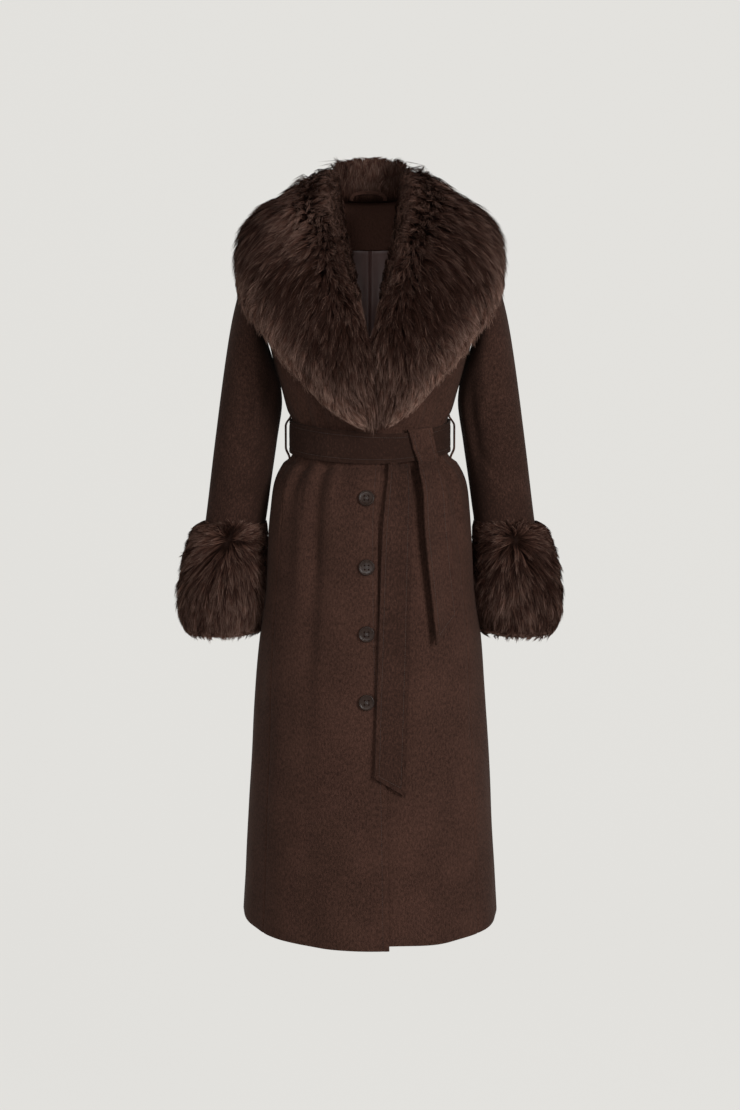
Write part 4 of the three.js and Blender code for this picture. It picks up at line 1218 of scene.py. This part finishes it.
def button_holes(bm):
    """The insides of the four holes, as dark cups set into the button's face: painted shade that stands for the
    shadow inside the holes.
    """
    for x, y in ((-1, -1), (1, -1), (1, 1), (-1, 1)):
        size = {"radius1": BUTTON.hole, "radius2": BUTTON.hole, "depth": 0.25}
        made = bmesh.ops.create_cone(bm, cap_ends=True, segments=16, **size)
        place = (x * BUTTON.holes_apart / 2, y * BUTTON.holes_apart / 2, BUTTON.face)
        bmesh.ops.translate(bm, verts=made["verts"], vec=place)


def button_thread(bm):
    """The crossed threads that hold a button."""
    for turned in (45, 135):
        for step in (-0.55, 0, 0.55):
            verts = bmesh.ops.create_uvsphere(bm, u_segments=10, v_segments=8, radius=1)["verts"]
            bmesh.ops.scale(bm, verts=verts, vec=(BUTTON.threads * 0.76, 0.34, 0.5))
            bmesh.ops.translate(bm, verts=verts, vec=(0, step, BUTTON.face + 0.1))
            matrix = Matrix.Rotation(math.radians(turned), 3, "Z")
            bmesh.ops.rotate(bm, verts=verts, cent=(0, 0, 0), matrix=matrix)


def to_right_front(height):
    """The move from a button's own axes to its place on the right front, and into metres."""
    z = np.array(float(height))
    angle = angle_at(np.array(float(BUTTON_X)), z)
    centre = Vector(body_point(angle, z, LAP_LIFT + 2 * SEAM))
    turned = Vector(outward(body_point, angle, z, 0.5, 1)).to_track_quat("Z", "Y").to_matrix().to_4x4()
    return Matrix.Scale(MM, 4) @ Matrix.Translation(centre) @ turned


for number, height in enumerate(BUTTON_HEIGHTS, 1):
    for kind, fill, material in (("horn", button_horn, HORN), ("holes", button_holes, PAINTED_SHADE_SKIN),
                                 ("thread", button_thread, THREAD)):
        bm = bmesh.new()
        fill(bm)
        mesh = mesh_of(f"button_{number}_{kind}", bm, rounded=kind != "holes")
        mesh.transform(to_right_front(height))
        piece(mesh.name, mesh, material, "button")

# Fur

rng = np.random.default_rng(7)
DENSITY = 1.0
STRAND_STEPS = np.array([0, 0.5, 1.0])
LONGEST_SEGMENT = 34  # a strand with a longer one was caught in a fold of the collar, and is left out
TURNED_OVER = 190.0  # millimetres over the cape that one share stands for
CAPE = SimpleNamespace(strands=63500, spacing=5.3, long=36, spread=4.5, gather=0.72, last_root=0.94)
STAND = SimpleNamespace(strands=12500, locks=832, long=29, spread=5.5)
CUFF_FUR = SimpleNamespace(strands=29500, spacing=5.2, long=42, spread=4.2, gather=0.76, girth=400, top=-504)


def strand_template():
    """A blade from root to tip: a strip of two cells whose last edge is drawn to a point."""
    bm = bmesh.new()
    bmesh.ops.create_grid(bm, x_segments=1, y_segments=2, size=1)
    bmesh.ops.pointmerge(bm, verts=[v for v in bm.verts if v.co.y > 0.9], merge_co=(0, 1, 0))
    bm.verts.index_update()
    return bm


def strands(name, paths, facing, tone, width, stands_for):
    """Fur strands as one piece, from their paths of three points, in millimetres."""
    longest = np.linalg.norm(np.diff(paths, axis=1), axis=-1).max(axis=1)
    kept = longest < LONGEST_SEGMENT
    paths, facing, tone, width = paths[kept], facing[kept], tone[kept], width[kept]
    template = strand_template()
    shape = np.array([v.co for v in template.verts])
    step = np.rint(shape[:, 1] + 1).astype(int)
    ahead = unit(np.diff(paths, axis=1))
    ahead = np.concatenate([ahead, ahead[:, -1:]], axis=1)
    beside = unit(np.cross(ahead, facing[:, None]))
    twist = rng.normal(0, 0.5, len(paths))[:, None, None]
    beside = unit(beside * np.cos(twist) + np.cross(ahead, beside) * np.sin(twist))
    half = width[:, None] * np.array([0.8, 1.0, 0.0]) / 2
    corners = paths[:, step] + beside[:, step] * (half[:, step] * shape[:, 0])[..., None]
    uv = np.empty((len(paths), len(shape), 2))
    uv[..., 0] = np.clip(tone, 0.02, 0.98)[:, None]
    uv[..., 1] = STRAND_STEPS[step] * 0.96 + 0.02
    mesh = repeated(name, template, corners * MM, uv)
    template.free()
    return piece(name, mesh, FUR, "fur", stands_for)


def field(*parts):
    """Slow waves over a surface, from -1 to 1, given as (place, wavelength, phase) for each term."""
    total = sum(np.sin(2 * np.pi * place / length + phase) for place, length, phase in parts)
    return total / len(parts)


def owners(locks, total):
    """The number of the lock that each strand belongs to."""
    return np.repeat(np.arange(locks), round(total * DENSITY / locks))


def spread(count, radius):
    """Places scattered evenly over a disc."""
    angle, reach = rng.uniform(0, 2 * np.pi, count), radius * np.sqrt(rng.uniform(0, 1, count))
    return reach * np.cos(angle), reach * np.sin(angle)


def widths(count):
    return rng.uniform(0.65, 1.15, count) / DENSITY**0.5


def streaks(count):
    """Extra lightness of a few strands among many dark ones: painted highlights that stand for glints of light
    on single hairs.
    """
    return 0.32 * (rng.uniform(0, 1, count) > 0.94)


def lifting(t):
    """How far a strand has risen from the skin to its full height, at a step from root to tip."""
    return np.sin(t * np.pi / 2) ** 0.8


def collar_locks(half):
    """Lock middles spread evenly over a half of the collar, as stations and shares."""
    stations, shares = [], []
    fine = np.linspace(0, LAST_STATION, 240)
    rows = round(TURNED_OVER / CAPE.spacing)
    for row in range(rows):
        share = np.full_like(fine, 0.95 * (row + 0.5) / rows)
        line = half.point(fine, share, half.skin(fine, share))
        at = np.append(0, np.cumsum(np.linalg.norm(np.diff(line, axis=0), axis=1)))
        count = round(at[-1] / CAPE.spacing)
        middle = (np.arange(count) + rng.uniform(0, 1, count)) * at[-1] / count
        stations.append(np.interp(middle, at, fine))
        shares.append(share[0] + rng.uniform(-0.5, 0.5, count) * 0.95 / rows)
    return np.concatenate(stations), np.clip(np.concatenate(shares), 0.0, 0.95) * 0.975


def station_length(half, station, share):
    """How many millimetres a step of one station is at a place on the collar."""
    station = np.abs(station)
    before, after = np.maximum(station - 0.05, 0), np.minimum(station + 0.05, LAST_STATION)
    gap = half.point(after, share, 10 + 0 * share) - half.point(before, share, 10 + 0 * share)
    return np.maximum(np.linalg.norm(gap, axis=-1) / 0.1, 12)


# Where the collar's fur is lighter or darker: side, or 0 for both, station, share, reach each way, amount
FUR_LIGHTS = [
    (-1, 4.75, 0.27, 0.6, 0.14, 0.25),
    (-1, 3.7, 0.14, 0.9, 0.12, 0.13),
    (1, 3.7, 0.16, 0.9, 0.12, 0.07),
    (1, 4.3, 0.55, 0.7, 0.14, 0.07),
    (1, 5.7, 0.03, 1.2, 0.07, 0.18),
    (-1, 6.6, 0.03, 1.5, 0.05, 0.06),
    (-1, 9.6, 0.62, 1.2, 0.2, 0.09),
    (0, 10.4, 0.4, 1.8, 0.7, 0.08),
    (1, 9.0, 0.45, 1.4, 0.3, 0.07),
    # Painted shade: a dark line along this half's inner edge near the tip, where it meets the other half
    (1, 10.0, -0.02, 1.2, 0.07, -0.1),
    (-1, 6.4, 0.5, 1.2, 0.24, -0.04),
    (1, 6.0, 0.6, 1.6, 0.22, -0.04),
    (1, 6.8, 0.38, 1.5, 0.2, -0.06),
    (0, 1.2, 0.6, 1.0, 0.25, 0.06),
]


def cape_strands(half, side):
    """Paths, facing directions, tones and stations of the strands on one half of the collar."""
    s, u = collar_locks(half)
    metric = station_length(half, s, u)

    # How the locks lie: 0 runs down over the cape, a quarter turn runs along it towards the tip
    parting = lerp(0.06, 0.22, smooth(2.2, 4.4, s)) * (1 - smooth(7, 9.5, s)) + 0.02 * np.sin(s * 3.1)
    softness = lerp(0.06, 0.2, smooth(5.5, 9, s))
    out_angle = 0.05 + 1.35 * smooth(4.2, 10.8, s) * (1 - 0.42 * smooth(0.3, 1, u))
    in_angle = np.pi - 0.25 - 0.8 * smooth(3.2, 6.5, s)
    swirl = field((s, 2.7, side), (u + s * 0.1, 0.37, 1.0), (s - 3 * u, 1.9, 2.2))
    angle = lerp(in_angle, out_angle, smooth(parting - softness, parting + softness, u))
    angle = angle + 0.26 * swirl + rng.normal(0, 0.2, len(s))
    long = rng.normal(CAPE.long, 5, len(s)) * (1 - 0.2 * smooth(9.5, 11, s))
    long = long * lerp(0.72, 1, smooth(-0.02, 0.25, u - parting)) * lerp(1, 0.85, smooth(0.84, 0.95, u))

    # Their lightness and height
    patch = field((s, 2.1, 0.4 + side), (u, 0.55, 2.0), (s + 4 * u, 3.3, 1.2))
    lock_tone = 0.06 + 0.045 * patch + rng.normal(0, 0.07, len(s))
    for which, at_s, at_u, along, across, amount in FUR_LIGHTS:
        if which in (0, side):
            lock_tone = lock_tone + amount * bell(s - at_s, along) * bell(u - at_u, across)
    tufts = field((s * metric, 23, side), (u * TURNED_OVER, 31, 0.7))
    raised = 0.95 + 0.07 * tufts + rng.normal(0, 0.1, len(s))
    raised = raised + 0.42 * bell(s - 3.4, 1.0) * bell(u - 0.47, 0.16)
    raised = raised - 0.33 * bell(s - 4, 1.3) * bell(u - 0.83, 0.16)
    raised = raised - 0.18 * side * smooth(8, 9.5, s) * smooth(0.3, 0.05, u)
    upright = smooth(0.13, 0.0, np.abs(u - parting)) * (1 - smooth(5, 7.5, s)) * 0.8
    # Painted light: upright strands by the parting are lightened against the shade they cast on each other
    lock_tone = lock_tone + 0.12 * upright

    # Where they end, which leaves a ragged edge and a fringe at the tip
    bend = rng.normal(0, 2.4, len(s))
    last_u = rng.uniform(0.95, 1.03, len(s)) - 0.03 * bell(s - 4, 1.3)
    fringe = np.maximum(40 - 4 * side - 59 * u, 0) / PAST_TIP - (0.7 + 0.25 * side) * smooth(0.5, 1, u)
    last_s = LAST_STATION + rng.uniform(-0.15, 0.22, len(s)) + fringe
    long = long * (1 + 0.75 * smooth(9.6, 10.8, s) * smooth(0.8, 0.1, u))

    owner = owners(len(s), CAPE.strands)
    count = len(owner)
    middle_s, middle_u, metric, turned = s[owner], u[owner], metric[owner], angle[owner]
    off_u, off_s = spread(count, CAPE.spread)
    off_u, off_s = off_u / TURNED_OVER, off_s / metric
    root_u = np.clip(middle_u + off_u, 0.0, CAPE.last_root)
    root_s = np.clip(middle_s + off_s, 0.0, LAST_STATION)
    reach = (long * (1 - 0.6 * upright))[owner] * rng.normal(1, 0.13, count)
    go_u = np.cos(turned) * reach / TURNED_OVER + rng.normal(0, 2.2, count) / TURNED_OVER
    go_s = (np.sin(turned) * reach + rng.normal(0, 2.2, count)) / metric
    go_u = go_u - np.maximum(middle_u + go_u - last_u[owner], 0) * rng.uniform(0.55, 1, count)
    go_s = go_s - np.maximum(middle_s + go_s - last_s[owner], 0) * rng.uniform(0.7, 1, count)
    low = half.skin(root_s, root_u)
    paths = []
    for t in STRAND_STEPS:
        gather = 1 - CAPE.gather * t**1.3
        curl = 4 * t * (1 - t) * (bend[owner] + rng.normal(0, 0.7, count))
        at_u = middle_u + (root_u - middle_u) * gather + go_u * t - curl * np.sin(turned) / TURNED_OVER
        at_s = middle_s + (root_s - middle_s) * gather + go_s * t + curl * np.cos(turned) / metric
        at_u = np.where(at_u < 0, at_u * 0.4, at_u)
        high = half.height(np.minimum(np.abs(at_s), LAST_STATION), np.clip(at_u, 0, 1)) * raised[owner]
        paths.append(half.point(at_s, at_u, lerp(low, high + 2.5 * smooth(0.93, 1.02, at_u), lifting(t))))
    facing = unit(half.point(root_s, root_u, 30 + 0 * root_s) - half.point(root_s, root_u, 0 * root_s))
    band = 0.34 * smooth(0.64, 0.92, middle_u + 0.6 * go_u) * smooth(2.8, 5.5, middle_s)
    inner = 0.18 * smooth(0.08, -0.03, middle_u + go_u) * smooth(3, 4.5, middle_s)
    tone = lock_tone[owner] * (1 + 2.2 * band) + band + inner + rng.normal(0, 0.045, count) + streaks(count)
    return np.stack(paths, axis=1), facing, tone, middle_s


def stand_strands(half):
    """The strands inside the neck, which grow up the inner side of the collar and over its crest."""
    locks = STAND.locks
    lock_s, lock_start = rng.uniform(-0.25, 7.4, locks), rng.uniform(-0.3, 0.9, locks)
    lock_lean = rng.normal(0, 0.3, locks) + 0.2 * field((lock_s, 0.8, 0.3), (lock_start, 1.7, 1.0))
    lock_lift, lock_top = rng.uniform(0.1, 1.5, locks), rng.uniform(0.9, 1.03, locks)
    owner = owners(locks, STAND.strands)
    count = len(owner)
    metric = station_length(half, lock_s[owner], np.full(count, 0.03))
    off_s, off_high = spread(count, STAND.spread)
    s = lock_s[owner] + off_s / metric
    tops = half.height(np.abs(s), np.full(count, 0.05)) * lock_top[owner]
    low = np.maximum(lock_start[owner] * tops + off_high, -7)
    lean = lock_lean[owner] + rng.normal(0, 0.1, count)
    reach = rng.normal(STAND.long, 4, count) * lerp(1, 0.62, smooth(3.8, 5.2, s))
    lift = lock_lift[owner] * rng.normal(1, 0.15, count)
    paths = []
    for t in STRAND_STEPS:
        high = low + t * reach * np.cos(lean)
        over = np.maximum(high - tops, 0)
        at_u = -0.01 - 0.05 * np.sin(t * np.pi * 0.62) * lift + over * 0.0022
        paths.append(half.point(s + t * reach * np.sin(lean) / metric, at_u, high - over * 0.85))
    inner, outer = (half.point(s, np.full(count, share), 0 * s + 20) for share in (-0.05, 0.05))
    lock_tone = 0.14 + 0.08 * field((lock_s, 0.55, 1.1), (lock_s, 0.31, 0.2)) + rng.normal(0, 0.05, locks)
    lock_tone = lock_tone + 0.1 * bell(lock_s, 0.8) - 0.06 * bell(lock_s - 1.8, 0.5)
    tone = lock_tone[owner] + 0.06 * lock_start[owner] + rng.normal(0, 0.03, count) + streaks(count)
    return np.stack(paths, axis=1), unit(inner - outer), tone, np.abs(s)


def collar_skin(half):
    """The sheet that the fur grows from. Below level 0 it runs down the inside of the neck and back under."""

    def surface(station, level):
        station, level = np.broadcast_arrays(station, level)
        share = np.where(level < -1, -(level + 1) * LAP_SHARE, np.maximum(level, 0))
        high = half.skin(np.abs(station), np.maximum(level, 0)) * 0.96
        high = np.where(level < -1, 0.9, lerp(high, 0.9, np.clip(-level, 0, 1)))
        return half.point(station, share, high)

    return surface


rows = joined(*(np.linspace(*run) for run in ((-2, -1, 4), (-1, 0, 7), (0, 0.14, 10), (0.17, 0.95, 22))))
for label, side in SIDES:
    half = collar_half(side)
    stations = np.append(-0.03, np.linspace(0, LAST_STATION, 90))
    node = f"collar_{label}"
    skin = cloth(
        f"{node}_skin", collar_skin(half), stations, rows, 1, look=(PAINTED_SHADE_SKIN, "fur"), rim=0.3, flip=side > 0
    )
    both = zip(cape_strands(half, side), stand_strands(half))
    paths, facing, tone, station = (np.concatenate(pair) for pair in both)
    width = widths(len(paths))
    for place, low, high in (("back", -1, 4.2), ("front", 4.2, 99)):
        kept = (values[(station >= low) & (station < high)] for values in (paths, facing, tone, width))
        strands(f"{node}_fur_{place}", *kept, node)


def cuff_strands(side):
    """Paths, facing directions and tones of the strands of one cuff, which fan out from its upper middle."""
    rows, around = round(188 / CUFF_FUR.spacing), round(CUFF_FUR.girth / CUFF_FUR.spacing)
    row, step = np.meshgrid(np.arange(rows), np.arange(around), indexing="ij")
    z = CUFF_FUR.top - (row.ravel() + rng.uniform(0, 1, row.size)) * 184 / rows
    a = (step.ravel() + rng.uniform(0, 1, step.size)) * 360 / around
    degree = CUFF_FUR.girth / 360
    x, down = turn(a, np.where(a < 180, 88 - 4 * side, 268)) * degree, -528 - z
    fan = unit(np.stack([x * 1.1, down + 0.3 * np.abs(x)], axis=-1))
    drop = unit(np.stack([x * 0.55, 95 + 0 * down], axis=-1))
    flow = unit(lerp(fan, drop, smooth(0, 110, down)[:, None]))
    swirl = 0.2 * field((a, 97, 0.5 + side), (z, 71, 1.0)) + rng.normal(0, 0.15, len(x))
    cos, sin = np.cos(swirl), np.sin(swirl)
    flow_x, flow_z = flow[:, 0] * cos - flow[:, 1] * sin, flow[:, 0] * sin + flow[:, 1] * cos
    long = rng.normal(CUFF_FUR.long, 5, len(x)) * lerp(0.5, 1, smooth(-508, -560, z))
    patch = field((a, 120, 1 + side), (z, 90, 0.3))
    lock_tone = 0.15 - 0.04 * side + 0.08 * patch + rng.normal(0, 0.1, len(x))
    tufts = field((a, 27, side), (z, 33, 0.7))
    raised = 0.94 + 0.05 * tufts + rng.normal(0, 0.07, len(x)) + 0.75 * bell(turn(a, 172), 36)
    raised = raised + 0.45 * bell(turn(a, 180), 50) * smooth(-640, -680, z)

    owner = owners(len(x), CUFF_FUR.strands)
    count = len(owner)
    middle_a, middle_z = a[owner], z[owner]
    off_x, off_z = spread(count, CUFF_FUR.spread)
    root_a, root_z = middle_a + off_x / degree, np.clip(middle_z + off_z, -684, -503)
    reach = long[owner] * rng.normal(1, 0.13, count)
    wander_x, wander_z = rng.normal(0, 2.2, (2, count))
    drawn = rng.uniform(0.08, 0.36, len(x))[owner]
    paths = []
    for t in STRAND_STEPS:
        gather = 1 - CUFF_FUR.gather * t**1.3
        at_a = middle_a + (root_a - middle_a) * gather + (flow_x[owner] * reach + wander_x) * t / degree
        at_z = middle_z + (root_z - middle_z) * gather - (flow_z[owner] * reach + wander_z) * t
        at_z = np.where(at_z < -677, -677 + (at_z + 677) * drawn, at_z)
        at_z = np.where(at_z > -507, -507 + (at_z + 507) * 0.5, at_z)
        level = np.clip(at_z, CUFF[-1][0], CUFF[0][0])
        made = cuff_point(side, at_a, level, lerp(CUFF_SKIN, raised[owner], lifting(t)))
        made[..., 2] += at_z - level
        paths.append(made)
    outer, inner = (cuff_point(side, root_a, root_z, np.full(count, share)) for share in (1.0, 0.0))
    low_edge = 0.14 * smooth(-655, -695, root_z - 20)
    tone = lock_tone[owner] + low_edge + rng.normal(0, 0.06, count) + streaks(count)
    return np.stack(paths, axis=1), unit(outer - inner), tone


def cuff_skin(side):
    """The sheet that a cuff's fur grows from."""

    def surface(turned, z):
        turned, z = np.broadcast_arrays(turned, z)
        return cuff_point(side, turned, z, CUFF_SKIN + 0 * z)

    return surface


for label, side in SIDES:
    skin = cloth(
        f"cuff_{label}_skin", cuff_skin(side), np.arange(0, 361, 6.0), levels(-687, -505, 8), 2,
        look=(PAINTED_SHADE_SKIN, "fur"), rim=0.5, closed=True, flip=side > 0,
    )
    paths, facing, tone = cuff_strands(side)
    fur = strands(f"cuff_{label}_fur", paths, facing, tone, widths(len(paths)), f"cuff_{label}")

# Studio

PAPER = (0.76, 0.75, 0.722, 1)


def studio_paper():
    """A pale floor that curves up into a wall behind the coat."""
    floor, wall, bend = -1.75, 2.6, 0.9
    turns = np.linspace(0, math.pi / 2, 13)
    profile = [(wall - bend + bend * math.sin(a), floor + bend - bend * math.cos(a)) for a in turns]
    bm = bmesh.new()
    chain = [bm.verts.new((-7, y, z)) for y, z in [(-6, floor), *profile, (wall, 5)]]
    edges = [bm.edges.new(pair) for pair in zip(chain, chain[1:])]
    made = bmesh.ops.extrude_edge_only(bm, edges=edges)["geom"]
    bmesh.ops.translate(bm, verts=[v for v in made if isinstance(v, bmesh.types.BMVert)], vec=(14, 0, 0))
    mesh = mesh_of("studio_paper", bm)
    shader = Shader(
        "studio_paper", Roughness=1.0, Specular_IOR_Level=0, Base_Color=(0.03, 0.0295, 0.0285, 1),
        Emission_Color=PAPER, Emission_Strength=0.96,
    )
    mesh.materials.append(shader.material)
    return bpy.data.objects.new("studio_paper", mesh)


def softbox(name, place, aim, size, power_watts):
    light = bpy.data.lights.new(name, "AREA")
    light.shape = "RECTANGLE"
    light.size, light.size_y = size
    light.energy = power_watts
    made = bpy.data.objects.new(name, light)
    made.location = place
    made.rotation_euler = (Vector(aim) - Vector(place)).to_track_quat("-Z", "Y").to_euler()
    bpy.context.scene.collection.objects.link(made)


paper = studio_paper()
bpy.context.scene.collection.objects.link(paper)
softbox("key", (2.0, -2.7, 0.5), (0, 0, -0.5), (1.0, 1.5), 160)
softbox("front", (-0.15, -3.4, 0.35), (0, 0, -0.3), (0.9, 0.9), 34)
softbox("fill", (-2.4, -2.4, 0.1), (0, 0, -0.6), (1.8, 2.4), 30)
softbox("top", (0.3, 0.2, 2.6), (0, 0, -0.3), (1.8, 1.4), 45)

world = bpy.data.worlds.new("studio")
bpy.context.scene.world = world
world.use_nodes = True
world.node_tree.nodes["Background"].inputs["Color"].default_value = PAPER
world.node_tree.nodes["Background"].inputs["Strength"].default_value = 0.5
bpy.context.scene.view_settings.view_transform = "Standard"

camera = bpy.data.objects.new("camera", bpy.data.cameras.new("camera"))
camera.location = (0, -3.0, -0.19)
camera.rotation_euler = (math.radians(90 - 7), 0, 0)
camera.data.lens = 60.5
bpy.context.scene.collection.objects.link(camera)
bpy.context.scene.camera = camera
